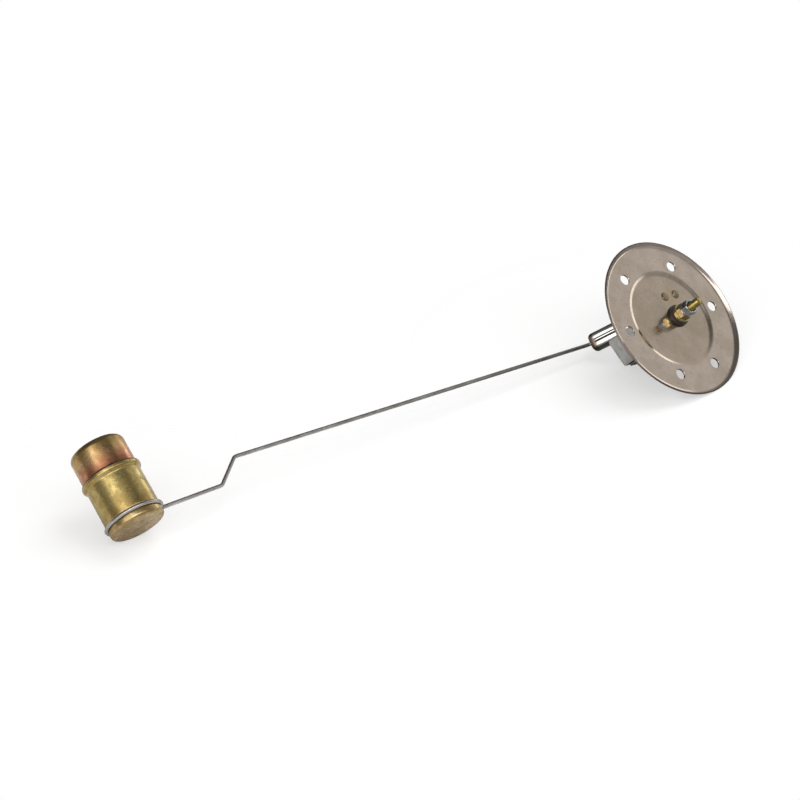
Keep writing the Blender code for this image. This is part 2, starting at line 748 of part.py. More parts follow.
def terminal_levels():
    """Bottom height of each piece on the stud, worked up and down from the pan."""
    levels = {"bush": PAN_TOP_Z + SEAT_GAP}
    levels["fibre"] = levels["bush"] + BUSH_HEAD_HEIGHT + SEAT_GAP
    levels["brass"] = levels["fibre"] + FIBRE_WASHER_HEIGHT + SEAT_GAP
    levels["lower_nut"] = levels["brass"] + BRASS_WASHER_HEIGHT + SEAT_GAP
    levels["plain"] = levels["lower_nut"] + LOWER_NUT_HEIGHT + SEAT_GAP
    levels["top_nut"] = levels["plain"] + PLAIN_WASHER_HEIGHT + SEAT_GAP
    levels["inner_washer"] = PAN_UNDER_Z - SEAT_GAP - INNER_WASHER_HEIGHT
    levels["strip"] = levels["inner_washer"] - SEAT_GAP - STRIP_THICKNESS
    levels["stud"] = levels["strip"] - SEAT_GAP - STUD_HEAD_HEIGHT
    return levels


def make_terminal(materials):
    place = Matrix.Translation((TERMINAL_X, TERMINAL_Y, 0.0))
    at = terminal_levels()
    bore = STUD_BORE_DIAMETER
    tip = STUD_DIAMETER / 2 * 0.78
    stud = [
        (0.0, STUD_TOP_Z),
        (tip, STUD_TOP_Z),
        (STUD_DIAMETER / 2, STUD_TOP_Z - STUD_DIAMETER * 0.12),
        (STUD_DIAMETER / 2, at["strip"] - SEAT_GAP),
        (STUD_HEAD_DIAMETER / 2, at["strip"] - SEAT_GAP),
        (STUD_HEAD_DIAMETER / 2, at["stud"]),
        (0.0, at["stud"]),
    ]
    revolve("terminal_stud", stud, materials["brass"], place, steps=28)
    head = BUSH_HEAD_DIAMETER / 2
    top = at["bush"] + BUSH_HEAD_HEIGHT
    bush = [
        (bore / 2, top),
        (head - BUSH_HEAD_HEIGHT * 0.2, top),
        (head, top - BUSH_HEAD_HEIGHT * 0.2),
        (head, at["bush"]),
        (BUSH_SLEEVE_DIAMETER / 2, at["bush"]),
        (BUSH_SLEEVE_DIAMETER / 2, PAN_UNDER_Z),
        (bore / 2, PAN_UNDER_Z),
    ]
    revolve("insulating_bush", bush, materials["bakelite"], place, closed=True, steps=28)
    stack_ring("fibre_washer", FIBRE_WASHER_DIAMETER, FIBRE_WASHER_HEIGHT, at["fibre"], materials["fibre"])
    stack_ring("brass_washer", BRASS_WASHER_DIAMETER, BRASS_WASHER_HEIGHT, at["brass"], materials["brass"])
    stack_ring("plain_washer", PLAIN_WASHER_DIAMETER, PLAIN_WASHER_HEIGHT, at["plain"], materials["zinc_plate"])
    stack_ring(
        "inner_insulating_washer",
        INNER_WASHER_DIAMETER,
        INNER_WASHER_HEIGHT,
        at["inner_washer"],
        materials["fibre"],
    )
    stack_nut("lower_nut", LOWER_NUT_FLATS, LOWER_NUT_HEIGHT, at["lower_nut"], materials["brass"])
    stack_nut("terminal_nut", TERMINAL_NUT_FLATS, TERMINAL_NUT_HEIGHT, at["top_nut"], materials["zinc_plate"])


def stack_ring(name, diameter, height, bottom, material):
    place = Matrix.Translation((TERMINAL_X, TERMINAL_Y, 0.0))
    return ring(name, diameter, STUD_BORE_DIAMETER, bottom, bottom + height, material, place)


def stack_nut(name, flats, height, bottom, material):
    place = Matrix.Translation((TERMINAL_X, TERMINAL_Y, 0.0))
    return nut(name, flats, STUD_BORE_DIAMETER, bottom, bottom + height, material, place)


def make_contact_strip(materials):
    """Bent strip from the stud to the back of the card."""
    brass = materials["brass"]
    bottom = terminal_levels()["strip"]
    top = bottom + STRIP_THICKNESS
    near = TERMINAL_Y - STRIP_WIDTH / 2
    back = CARD_BACK_Y + SEAT_GAP
    outer = back + STRIP_THICKNESS
    outline = [
        (near, top),
        (near, bottom),
        (back, bottom),
        (back, bottom - STRIP_DROP),
        (outer, bottom - STRIP_DROP),
        (outer, top),
    ]
    frame = Matrix(((0, 0, 1, 0), (1, 0, 0, 0), (0, 1, 0, 0), (0, 0, 0, 1)))
    half = STRIP_WIDTH / 2
    strip = prism("contact_strip", outline, TERMINAL_X - half, TERMINAL_X + half, brass, frame)
    place = Matrix.Translation((TERMINAL_X, TERMINAL_Y, 0.0))
    low = bottom - CUT_MARGIN
    high = top + CUT_MARGIN
    stud_hole = rod("strip_stud_hole", STUD_BORE_DIAMETER, low, high, brass, place, 28)
    x, z = eyelet_place()
    bore = EYELET_DIAMETER + 2 * SEAT_GAP
    near = back - CUT_MARGIN
    eyelet_hole = cross_rod("strip_eyelet_hole", x, z, bore, near, outer + CUT_MARGIN, brass)
    trims = []
    for side, sign in (("a", -1), ("b", 1)):
        edge = sorted((TERMINAL_X + sign * STRIP_LEG_WIDTH / 2, TERMINAL_X + sign * STRIP_WIDTH))
        corner_low = (edge[0], back - CUT_MARGIN, bottom - STRIP_DROP - CUT_MARGIN)
        corner_high = (edge[1], outer + CUT_MARGIN, bottom - STRIP_THICKNESS)
        trims.append(block("strip_trim_" + side, corner_low, corner_high, brass))
    cut(strip, stud_hole, eyelet_hole, *trims, label="holes")
    return strip


def eyelet_place():
    return TERMINAL_X, terminal_levels()["strip"] - STRIP_DROP + EYELET_DIAMETER


def make_eyelet(materials):
    x, z = eyelet_place()
    front = CARD_Y - SEAT_GAP
    back = CARD_BACK_Y + SEAT_GAP + STRIP_THICKNESS + SEAT_GAP
    head = EYELET_DIAMETER * 0.8
    shank = EYELET_DIAMETER / 2
    rim = WINDING_WIRE_DIAMETER
    profile = [
        (0.0, back + rim),
        (head, back + rim),
        (head, back),
        (shank, back),
        (shank, front),
        (head, front),
        (head, front - rim),
        (0.0, front - rim),
    ]
    frame = Matrix.Translation((x, 0.0, z)) @ ALONG_Y
    return revolve("card_eyelet", profile, materials["brass"], frame, steps=20)


def track_angles():
    """First and last angle of the winding, measured up from +X at the pivot."""
    high = WIPER_FULL_ANGLE + WINDING_OVERRUN
    low = WIPER_FULL_ANGLE - SWING - WINDING_OVERRUN
    return low, high


def make_card(materials):
    board = materials["bakelite"]
    low, high = track_angles()
    margin = WINDING_OVERRUN
    centre = (PIVOT_X, PIVOT_Z)
    outline = arc(centre, TRACK_OUTER_RADIUS, low - margin, high + margin, 14)
    places = card_screw_places()
    outline += arc(places["upper"], CARD_EDGE, pi / 2, pi, 5)
    outline += arc(places["lower"], CARD_EDGE, pi, 1.5 * pi, 5)
    card = side_plate("resistor_card", outline, CARD_Y, CARD_BACK_Y, board)
    inner = TRACK_INNER_RADIUS - WINDOW_WIDTH
    window = band_outline(centre, inner, TRACK_INNER_RADIUS, low - margin / 2, high + margin / 2, 14)
    near = CARD_Y - CUT_MARGIN
    far = CARD_BACK_Y + CUT_MARGIN
    holes = [side_plate("card_window", window, near, far, board)]
    head = CARD_BACK_Y + SEAT_GAP
    reach = head - CARD_Y + SCREW_ENGAGEMENT
    for side, (x, z) in places.items():
        name = "card_hole_" + side
        holes.append(cross_rod(name, x, z, SCREW_BORE_DIAMETER, near, far, board))
        screw("card_screw_" + side, x, z, head, reach, materials["zinc_plate"])
    x, z = eyelet_place()
    bore = EYELET_DIAMETER + 2 * SEAT_GAP
    holes.append(cross_rod("card_eyelet_hole", x, z, bore, near, far, board))
    cut(card, *holes, label="holes")
    return card


def make_winding(materials):
    """Bare resistance wire wound round the curved track of the card."""
    low, high = track_angles()
    spare = SEAT_GAP + WINDING_WIRE_DIAMETER / 2
    inner = TRACK_INNER_RADIUS - spare
    outer = TRACK_OUTER_RADIUS + spare
    front = CARD_Y - spare
    back = CARD_BACK_Y + spare
    turns = int((high - low) / WINDING_PITCH)
    corners = [(inner, front), (outer, front), (outer, back), (inner, back)]
    path = []
    for step in range(turns * 4 + 1):
        angle = low + WINDING_PITCH * step / 4
        radius, y = corners[step % 4]
        path.append(Vector((PIVOT_X + radius * cos(angle), y, PIVOT_Z + radius * sin(angle))))
    wire = materials["resistance"]
    return round_wire("resistance_winding", path, WINDING_WIRE_DIAMETER, wire, 1)


def make_spindle(materials):
    head_y = LEVER_OUTER_Y - SEAT_GAP
    radius = SPINDLE_DIAMETER / 2
    head = SPINDLE_HEAD_DIAMETER / 2
    end = CLIP_Y + CLIP_THICKNESS + SEAT_GAP
    profile = [
        (0.0, end),
        (radius, end),
        (radius, head_y),
        (head, head_y),
        (head, head_y - SPINDLE_HEAD_HEIGHT * 0.6),
        (head * 0.6, head_y - SPINDLE_HEAD_HEIGHT),
        (0.0, head_y - SPINDLE_HEAD_HEIGHT),
    ]
    frame = Matrix.Translation(PIVOT) @ ALONG_Y
    return revolve("spindle", profile, materials["steel_wire"], frame, steps=24)


def make_bearing(materials):
    near = HOUSING_NEAR_Y
    outer = SPINDLE_BUSH_DIAMETER
    return spindle_ring("spindle_bush", outer, SPINDLE_BORE_DIAMETER, near, BEARING_END_Y, materials["brass"])


def wiper_tip(radius):
    return (
        PIVOT_X + radius * cos(WIPER_FULL_ANGLE),
        PIVOT_Z + radius * sin(WIPER_FULL_ANGLE),
    )


def make_wiper(materials):
    brass = materials["brass"]
    bore = SPINDLE_DIAMETER + 2 * SEAT_GAP
    hub_end = WIPER_HUB_Y + WIPER_HUB_LENGTH
    hub = spindle_ring("wiper_hub", WIPER_HUB_DIAMETER, bore, WIPER_HUB_Y, hub_end, brass)
    outline = belt_outline(
        (PIVOT_X, PIVOT_Z),
        WIPER_HUB_DIAMETER / 2,
        wiper_tip(TRACK_MIDDLE_RADIUS),
        WIPER_WIDTH / 2,
        10,
    )
    arm = side_plate("wiper_arm", outline, WIPER_Y, WIPER_Y + WIPER_THICKNESS, brass)
    hole_end = WIPER_Y + WIPER_THICKNESS + CUT_MARGIN
    hole = spindle_rod("wiper_hole", bore, WIPER_Y - CUT_MARGIN, hole_end, brass)
    cut(arm, hole, label="hole")
    clip_end = CLIP_Y + CLIP_THICKNESS
    clip = spindle_ring("spindle_clip", CLIP_DIAMETER, bore, CLIP_Y, clip_end, materials["zinc_plate"])
    x, z = wiper_tip(TRACK_MIDDLE_RADIUS)
    size = WIPER_CONTACT_DIAMETER / 2
    profile = [
        (0.0, CONTACT_Y + WIPER_CONTACT_HEIGHT),
        (size * 0.6, CONTACT_Y + WIPER_CONTACT_HEIGHT),
        (size, CONTACT_Y + WIPER_CONTACT_HEIGHT * 0.5),
        (size, CONTACT_Y),
        (0.0, CONTACT_Y),
    ]
    frame = Matrix.Translation((x, 0.0, z)) @ ALONG_Y
    contact = revolve("wiper_contact", profile, materials["bright_plate"], frame, steps=20)
    return [hub, arm, clip, contact]


def make_lever(materials):
    """Pressed channel with a closed, rounded nose and a raised rib along its web."""
    bright = materials["bright_plate"]
    half = LEVER_WIDTH / 2
    nose = LEVER_REACH - NOSE_SETBACK
    lever = block(
        "arm_lever",
        (-LEVER_HEEL, -half, -LEVER_CHEEK_DEPTH),
        (nose, half, LEVER_WEB_HEIGHT),
        bright,
        LEVER_FRAME,
    )

    def is_pressed_edge(middle):
        top = middle.z > LEVER_WEB_HEIGHT - 0.0001
        front = middle.x > nose - 0.0001
        side = abs(middle.y) > half - 0.0001
        return (top and side) or (front and side) or (front and top)

    round_edges(lever, LEVER_EDGE_RADIUS, 4, is_pressed_edge)
    inner_half = half - LEVER_SHEET
    hollow = block(
        "lever_hollow",
        (-LEVER_HEEL - CUT_MARGIN, -inner_half, -LEVER_CHEEK_DEPTH - CUT_MARGIN),
        (nose - LEVER_SHEET, inner_half, LEVER_WEB_HEIGHT - LEVER_SHEET),
        bright,
        LEVER_FRAME,
    )

    def is_hollow_edge(middle):
        top = middle.z > LEVER_WEB_HEIGHT - LEVER_SHEET - 0.0001
        front = middle.x > nose - LEVER_SHEET - 0.0001
        side = abs(middle.y) > inner_half - 0.0001
        return (top and side) or (front and side) or (front and top)

    round_edges(hollow, LEVER_EDGE_RADIUS - LEVER_SHEET, 3, is_hollow_edge)
    cut(lever, hollow, label="hollow")
    tools = []
    for side in (-1, 1):
        frame = LEVER_FRAME @ Matrix.Translation((0.0, side * RIB_WIDTH / 2, LEVER_WEB_HEIGHT))
        groove = prism(
            "rib_groove_" + ("a" if side < 0 else "b"),
            [(-GROOVE_DEPTH, 0.0), (0.0, -GROOVE_DEPTH), (GROOVE_DEPTH, 0.0), (0.0, GROOVE_DEPTH)],
            -LEVER_HEEL - CUT_MARGIN,
            nose - LEVER_EDGE_RADIUS,
            bright,
            frame @ Matrix(((0, 0, 1, 0), (1, 0, 0, 0), (0, 1, 0, 0), (0, 0, 0, 1))),
        )
        tools.append(groove)
    bore = SPINDLE_DIAMETER + 2 * SEAT_GAP
    near = LEVER_OUTER_Y - CUT_MARGIN
    far = near + LEVER_WIDTH + 2 * CUT_MARGIN
    tools.append(spindle_rod("lever_hole", bore, near, far, bright))
    wire_bore = WIRE_DIAMETER + 2 * SEAT_GAP
    along = LEVER_FRAME @ Matrix.Rotation(radians(90.0), 4, "Y")
    low = nose - 3 * LEVER_SHEET
    tools.append(rod("nose_hole", wire_bore, low, nose + CUT_MARGIN, bright, along, 20))
    cut(lever, *tools, label="holes")
    return lever


def make_clamp(materials):
    """Block and screw that hold the wire inside the lever."""
    half = LEVER_WIDTH / 2 - LEVER_SHEET - SEAT_GAP
    roof = LEVER_WEB_HEIGHT - LEVER_SHEET - SEAT_GAP
    body = block(
        "arm_clamp",
        (CLAMP_START, -half, roof - CLAMP_HEIGHT),
        (CLAMP_START + CLAMP_LENGTH, half, roof),
        materials["brass"],
        LEVER_FRAME,
    )

    def is_roof_side(middle):
        return middle.z > roof - 0.0001 and abs(middle.y) > half - 0.0001

    round_edges(body, LEVER_EDGE_RADIUS - LEVER_SHEET, 3, is_roof_side)
    along = LEVER_FRAME @ Matrix.Rotation(radians(90.0), 4, "Y")
    low = CLAMP_START - CUT_MARGIN
    high = CLAMP_START + CLAMP_LENGTH + CUT_MARGIN
    wire_bore = WIRE_DIAMETER + 2 * SEAT_GAP
    wire_hole = rod("clamp_wire_hole", wire_bore, low, high, materials["brass"], along, 20)
    middle = CLAMP_START + CLAMP_LENGTH / 2
    across = LEVER_FRAME @ Matrix.Translation((middle, 0.0, 0.0)) @ Matrix.Rotation(pi, 4, "X")
    bottom = CLAMP_HEIGHT - roof
    tip = WIRE_DIAMETER / 2 + SEAT_GAP
    high = bottom + CUT_MARGIN
    thread = rod("clamp_thread", SCREW_BORE_DIAMETER, 0.0, high, materials["brass"], across, 16)
    cut(body, wire_hole, thread, label="holes")
    head = bottom + SEAT_GAP
    profile = [
        (0.0, head + SCREW_HEAD_HEIGHT),
        (SCREW_HEAD_DIAMETER / 2, head + SCREW_HEAD_HEIGHT),
        (SCREW_HEAD_DIAMETER / 2, head),
        (SCREW_SHANK_DIAMETER / 2, head),
        (SCREW_SHANK_DIAMETER / 2, tip),
        (0.0, tip),
    ]
    pin = revolve("clamp_screw", profile, materials["zinc_plate"], across, steps=20)
    return [body, pin]


def wire_frame():
    """Corner points of the float wire, and the frame of the float at its far end."""
    start = LEVER_FRAME @ Vector((WIRE_INNER_START, 0.0, 0.0))
    leaving = LEVER_FRAME @ Vector((LEVER_REACH, 0.0, 0.0))
    along = Vector((cos(WIRE_DIP), 0.0, -sin(WIRE_DIP)))
    across = Vector((0.0, 1.0, 0.0))
    joggle_start = leaving + along * WIRE_MAIN_LENGTH
    joggle_end = joggle_start + along * JOGGLE_RUN + across * JOGGLE_OFFSET
    tail = along * cos(TAIL_SET) + across * sin(TAIL_SET)
    meeting = joggle_end + tail * WIRE_TAIL_LENGTH
    centre = meeting + tail * LOOP_RADIUS
    square = (across * cos(TAIL_SET) - along * sin(TAIL_SET)).normalized()
    float_axis = Matrix.Rotation(LOOP_TWIST, 3, tail) @ square
    side = float_axis.cross(tail)
    frame = Matrix.Translation(centre) @ Matrix(
        (
            (tail.x, side.x, float_axis.x, 0.0),
            (tail.y, side.y, float_axis.y, 0.0),
            (tail.z, side.z, float_axis.z, 0.0),
            (0.0, 0.0, 0.0, 1.0),
        )
    )
    return [start, leaving, joggle_start, joggle_end, meeting], frame


def make_float_wire(materials):
    corners, frame = wire_frame()
    first_turn = radians(14.0)
    loop_start = frame @ Vector((-LOOP_RADIUS * cos(first_turn), -LOOP_RADIUS * sin(first_turn), 0.0))
    path = rounded_path(corners + [loop_start], BEND_RADIUS, 5)[:-1]
    loop = arc((0.0, 0.0), LOOP_RADIUS, pi + first_turn, 3 * pi - LOOP_OPENING, 36)
    path += [frame @ Vector((x, y, 0.0)) for x, y in loop]
    return round_wire("float_wire", path, WIRE_DIAMETER, materials["steel_wire"], 3)


def corner_arc(radius, corner, end, toward):
    """Rounded end of a cup, from the flat end out to its side."""
    centre = (radius - corner, end - toward * corner)
    points = arc(centre, corner, pi / 2, 0.0, 4)
    return [(x, centre[1] + toward * (z - centre[1])) for x, z in points]


def make_float(materials):
    """Drawn cups whose open mouths slide together, in the frame of the wire loop."""
    frame = wire_frame()[1]
    low_end = LOOP_FROM_END
    high_end = LOOP_FROM_END - FLOAT_LENGTH
    mouth_edge = high_end + UPPER_CUP_EXPOSED
    mouth_foot = mouth_edge + MOUTH_LENGTH
    lower = LOWER_CUP_DIAMETER / 2
    upper = UPPER_CUP_DIAMETER / 2
    mouth = MOUTH_DIAMETER / 2
    groove = LOOP_SEAT_DEPTH
    half_groove = WIRE_DIAMETER * 0.7
    outside = [(0.0, high_end)] + corner_arc(upper, UPPER_CORNER_RADIUS, high_end, -1)
    outside.append((upper, mouth_foot - SEAT_GAP))
    revolve_cup("float_upper_cup", outside, materials["copper_tint"], frame, 1)
    outside = [(0.0, low_end)] + corner_arc(lower, LOWER_CORNER_RADIUS, low_end, 1)
    outside += [
        (lower, half_groove + 0.0004),
        (lower - groove, half_groove * 0.3),
        (lower - groove, -half_groove * 0.3),
        (lower, -half_groove - 0.0004),
        (lower, mouth_foot + 0.0009),
        (mouth - 0.0003, mouth_foot + 0.0002),
        (mouth, mouth_foot - 0.0004),
        (mouth, mouth_edge),
    ]
    revolve_cup("float_lower_cup", outside, materials["float_brass"], frame, -1)
    make_seam(materials, frame, mouth_edge)


def revolve_cup(name, outside, material, frame, sign):
    """Spin the outer face of a cup and give it its wall inward."""
    cup = revolve(name, outside, material, frame, steps=36)
    wall = cup.modifiers.new("Wall", "SOLIDIFY")
    wall.thickness = CUP_WALL
    wall.offset = float(sign)
    wall.use_even_offset = True
    return cup


def make_seam(materials, frame, mouth_edge):
    """Ring of solder in the corner between the cups."""
    inner = UPPER_CUP_DIAMETER / 2 + SEAT_GAP
    outer = MOUTH_DIAMETER / 2 - CUP_WALL * 0.4
    root = MOUTH_DIAMETER / 2 - CUP_WALL - SEAT_GAP
    foot = mouth_edge - SEAT_GAP
    rise = outer - inner
    profile = [
        (inner, mouth_edge + SEAM_ROOT),
        (root, mouth_edge + SEAM_ROOT),
        (root, foot),
        (outer, foot),
        (outer - rise * 0.3, foot - rise * 0.55),
        (inner + rise * 0.15, foot - rise * 0.9),
        (inner, foot - rise),
    ]
    return revolve("solder_seam", profile, materials["solder"], frame, closed=True, steps=36)


def hang_on_pivot(names):
    """Parent the moving pieces to an empty on the spindle axis."""
    pivot = bpy.data.objects.new("arm_pivot", None)
    get_collection("Sender").objects.link(pivot)
    pivot.location = PIVOT
    bpy.context.view_layer.update()
    for name in names:
        piece = bpy.data.objects[name]
        piece.parent = pivot
        piece.matrix_parent_inverse = pivot.matrix_world.inverted()


MOVING = (
    "spindle",
    "wiper_hub",
    "wiper_arm",
    "wiper_contact",
    "spindle_clip",
    "arm_lever",
    "arm_clamp",
    "clamp_screw",
    "float_wire",
    "float_upper_cup",
    "float_lower_cup",
    "solder_seam",
)


def main():
    clear_scene()
    materials = make_materials()
    make_flange(materials)
    make_housing(materials)
    make_cover(materials)
    make_rivets(materials)
    make_terminal(materials)
    make_contact_strip(materials)
    make_card(materials)
    make_eyelet(materials)
    make_winding(materials)
    make_bearing(materials)
    make_spindle(materials)
    make_wiper(materials)
    make_lever(materials)
    make_clamp(materials)
    make_float_wire(materials)
    make_float(materials)
    hang_on_pivot(MOVING)


main()
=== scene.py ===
"""Fuel level sender: looks, floor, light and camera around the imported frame.

Units are metres in the frame of the part: +Z out of the tank, +X toward the float.
"""
from math import acos, cos, hypot, pi, radians, sin, sqrt, tan

import bmesh
import bpy
from mathutils import Matrix, Vector, noise


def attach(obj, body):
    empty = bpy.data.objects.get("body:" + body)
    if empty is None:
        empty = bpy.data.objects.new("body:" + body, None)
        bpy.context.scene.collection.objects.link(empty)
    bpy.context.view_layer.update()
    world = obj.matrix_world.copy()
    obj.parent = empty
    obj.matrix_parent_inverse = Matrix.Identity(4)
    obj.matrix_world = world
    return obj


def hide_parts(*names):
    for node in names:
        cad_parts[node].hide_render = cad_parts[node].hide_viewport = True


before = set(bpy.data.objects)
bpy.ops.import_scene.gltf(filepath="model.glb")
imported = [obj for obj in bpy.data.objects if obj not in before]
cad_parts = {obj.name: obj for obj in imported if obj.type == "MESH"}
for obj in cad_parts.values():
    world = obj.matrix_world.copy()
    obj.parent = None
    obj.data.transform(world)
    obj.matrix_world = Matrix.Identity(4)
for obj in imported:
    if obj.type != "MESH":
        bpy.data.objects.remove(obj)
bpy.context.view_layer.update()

BODY = "sender_body"
ARM = "arm"

# Flange plate, as the part's own sizes
FLANGE_RADIUS = 0.04486
SHEET = 0.0010
PAN_RADIUS = 0.0249
PAN_WALL_OUT = 0.0286
PAN_TOP_Z = 0.0002
LIP_BEND = 0.0034
LIP_ANGLE = radians(57.0)
SEAT_RADIUS = FLANGE_RADIUS - (LIP_BEND + SHEET) * sin(LIP_ANGLE)
RIM_ROUNDING = 0.00012
EDGE_BREAK = 0.00008
BOLT_CIRCLE = 0.0332
BOLT_HOLE = 0.0058
BOLT_ANGLES = (67.0, 116.8, 1.9, 181.9, 237.7, 306.1)
RIVET_PLACES = ((-0.0035, -0.0127), (-0.0116, -0.0127))
RIVET_BORE = 0.0034
STUD_HOLE_RADIUS = 0.0038
CUT_REACH = 0.004
FOOT_UNDER_Z = -0.0038

# Housing rim: rounded along its sides, and elsewhere only below a height
RIM_ROUND = 0.0014
COVER_INSET = 0.0019
RIM_ROUND_BELOW_Z = -0.0240

# Terminal stack
TERMINAL = Vector((-0.0059, -0.0007, 0.0))
AT_TERMINAL = Matrix.Translation(TERMINAL)
STUD_RADIUS = 0.0023
THREAD_PITCH = 0.0008
THREAD_DEPTH = 0.00040
STUD_TOP_Z = 0.0184

# Lever
LEVER_ORIGIN = Vector((-0.0050, -0.0102, -0.0145))
LEVER_DIP = radians(52.0)

# Float wire and float
WIRE_RADIUS = 0.0010
WIRE_CORNERS = (
    (0.001157, -0.0102, -0.02238),
    (0.018272, -0.0102, -0.044287),
    (0.242316, -0.0102, -0.080173),
    (0.254955, 0.0017, -0.082197),
    (0.290870, 0.003097, -0.087950),
)
BEND_RADIUS = 0.0030
LOOP_RADIUS = 0.0147
LOOP_FIRST = radians(14.0)
LOOP_OPENING = radians(15.0)
FLOAT_FRAME = Matrix((
    (0.986686, -0.161599, -0.018347, 0.305375),
    (0.038388, 0.121780, 0.991815, 0.003662),
    (-0.158041, -0.979314, 0.126362, -0.090273),
    (0.0, 0.0, 0.0, 1.0),
))
LOOP_CENTRE = FLOAT_FRAME.translation
FLOAT_AXIS = FLOAT_FRAME.to_3x3() @ Vector((0.0, 0.0, 1.0))
FLOAT_LENGTH = 0.0459
LOWER_RADIUS = 0.0144
UPPER_RADIUS = 0.0143
MOUTH_RADIUS = 0.0157
MOUTH_LENGTH = 0.0020
UPPER_EXPOSED = 0.0170
LOOP_FROM_END = 0.0051
CUP_WALL = 0.0005

# Photograph's camera and floor, in the part's frame
CAMERA_PLACE = Vector((1.0500, 0.2706, 0.9418))
CAMERA_FORWARD = Vector((-0.6562, -0.2044, -0.7264))
CAMERA_UP = Vector((-0.1897, -0.8870, 0.4209))
CAMERA_LENS = 121.5
FLOOR_NORMAL = Vector((0.17252, -0.66403, 0.72753)).normalized()
FLOOR_DROP = 0.02946

# Floor: distances over which its shadow area ends round each piece, its tone in plain
# light, in reflections a painted shade near the plate and painted light near the float,
# and the share of the room that the camera sees through it
WIRE_SHADOW_END = (0.03, 0.07)
PLATE_SHADOW_END = (0.11, 0.17)
FLOAT_SHADOW_END = (0.085, 0.13)
FLOOR_TONE = (0.52, 0.52, 0.52)
FLOOR_PAINTED_LIGHT_REFLECTED = (0.85, 0.85, 0.85)
FLOOR_PAINTED_SHADE_REFLECTED = (0.30, 0.29, 0.28)
PAINTED_REFLECTION_CHANGE = (-0.20, -0.06)
WINDOW_CHANGE = (0.08, 0.45)
WINDOW_SHARE = (0.53, 0.63)

# Room: tones, and the part of each look direction over which an area begins or ends
ROOM_BACK = (0.13, 0.13, 0.13)
ROOM_FRONT = (0.38, 0.38, 0.38)
ROOM_WALL = (0.60, 0.59, 0.58)
ROOM_STRIP = (1.8, 1.8, 1.8)
WHITE = (1.0, 1.0, 1.0)
FRONT_AWAY = (-0.60, -0.15)
FRONT_RIGHT = (0.55, 0.90)
WALL_RIGHT = (0.05, 0.45)
WALL_AWAY = (0.05, 0.35)
WALL_UP = (0.68, 0.88)
LOW_UP = (0.09, 0.17)
LOW_AWAY = (0.12, 0.24)
LOW_RIGHT = (0.40, 0.56)
TALL_UP = (0.26, 0.36)
TALL_AWAY = (0.66, 0.74)
TALL_RIGHT = (0.38, 0.48)


# Node trees

def link(tree, source, target):
    tree.links.new(source, target)


def add_node(tree, kind, **settings):
    node = tree.nodes.new(kind)
    for key, value in settings.items():
        setattr(node, key, value)
    return node


def ramp(tree, stops, source):
    node = add_node(tree, "ShaderNodeValToRGB")
    elements = node.color_ramp.elements
    while len(elements) < len(stops):
        elements.new(0.5)
    for element, (place, colour) in zip(elements, stops):
        element.position = place
        element.color = (*colour, 1.0)
    link(tree, source, node.inputs["Fac"])
    return node.outputs["Color"]


def maths(tree, operation, first, second=None, third=None, clamp=False):
    node = add_node(tree, "ShaderNodeMath", operation=operation, use_clamp=clamp)
    for socket, value in zip(node.inputs, (first, second, third)):
        if value is None:
            continue
        if isinstance(value, (int, float)):
            socket.default_value = value
        else:
            link(tree, value, socket)
    return node.outputs["Value"]


def vector_maths(tree, operation, first, second=None):
    node = add_node(tree, "ShaderNodeVectorMath", operation=operation)
    for socket, value in zip(node.inputs, (first, second)):
        if value is None:
            continue
        if isinstance(value, (tuple, Vector)):
            socket.default_value = tuple(value)
        else:
            link(tree, value, socket)
    name = "Value" if operation in ("DOT_PRODUCT", "DISTANCE", "LENGTH") else "Vector"
    return node.outputs[name]


def mix_colour(tree, factor, first, second, blend="MIX"):
    node = add_node(tree, "ShaderNodeMix", data_type="RGBA", blend_type=blend)
    # By number, since the node repeats these names for every kind of value
    slots = (node.inputs[0], node.inputs[6], node.inputs[7])
    for socket, value in zip(slots, (factor, first, second)):
        if isinstance(value, (int, float)):
            socket.default_value = value
        elif isinstance(value, tuple):
            socket.default_value = (*value, 1.0)
        else:
            link(tree, value, socket)
    return node.outputs[2]


def map_range(tree, value, low, high, to_low=0.0, to_high=1.0, smooth=True):
    kind = "SMOOTHSTEP" if smooth else "LINEAR"
    node = add_node(tree, "ShaderNodeMapRange", interpolation_type=kind)
    link(tree, value, node.inputs["Value"])
    numbers = (low, high, to_low, to_high)
    names = ("From Min", "From Max", "To Min", "To Max")
    for name, number in zip(names, numbers):
        if isinstance(number, (int, float)):
            node.inputs[name].default_value = number
        else:
            link(tree, number, node.inputs[name])
    return node.outputs["Result"]


def fade(tree, value, low, high):
    """1 up to the lower value, falling to 0 at the higher one."""
    return map_range(tree, value, low, high, 1.0, 0.0)


def overlap(tree, *masks):
    """1 where all the masks are 1."""
    shared = masks[0]
    for mask in masks[1:]:
        shared = maths(tree, "MULTIPLY", shared, mask)
    return shared


def object_place(tree):
    return add_node(tree, "ShaderNodeTexCoord").outputs["Object"]


def noise_at(tree, scale, detail, roughness=0.55, vector=None):
    if vector is None:
        vector = object_place(tree)
    node = add_node(tree, "ShaderNodeTexNoise")
    link(tree, vector, node.inputs["Vector"])
    if isinstance(scale, (int, float)):
        node.inputs["Scale"].default_value = scale
    else:
        link(tree, scale, node.inputs["Scale"])
    node.inputs["Detail"].default_value = detail
    node.inputs["Roughness"].default_value = roughness
    return node.outputs["Fac"]


def new_group(name, inputs, outputs):
    tree = bpy.data.node_groups.new(name, "ShaderNodeTree")
    for label, kind, value in inputs:
        socket = tree.interface.new_socket(label, in_out="INPUT", socket_type=kind)
        socket.default_value = value
    for label, kind in outputs:
        tree.interface.new_socket(label, in_out="OUTPUT", socket_type=kind)
    entry = add_node(tree, "NodeGroupInput")
    leave = add_node(tree, "NodeGroupOutput")
    return tree, entry.outputs, leave.inputs


FLOAT = "NodeSocketFloat"
COLOUR = "NodeSocketColor"


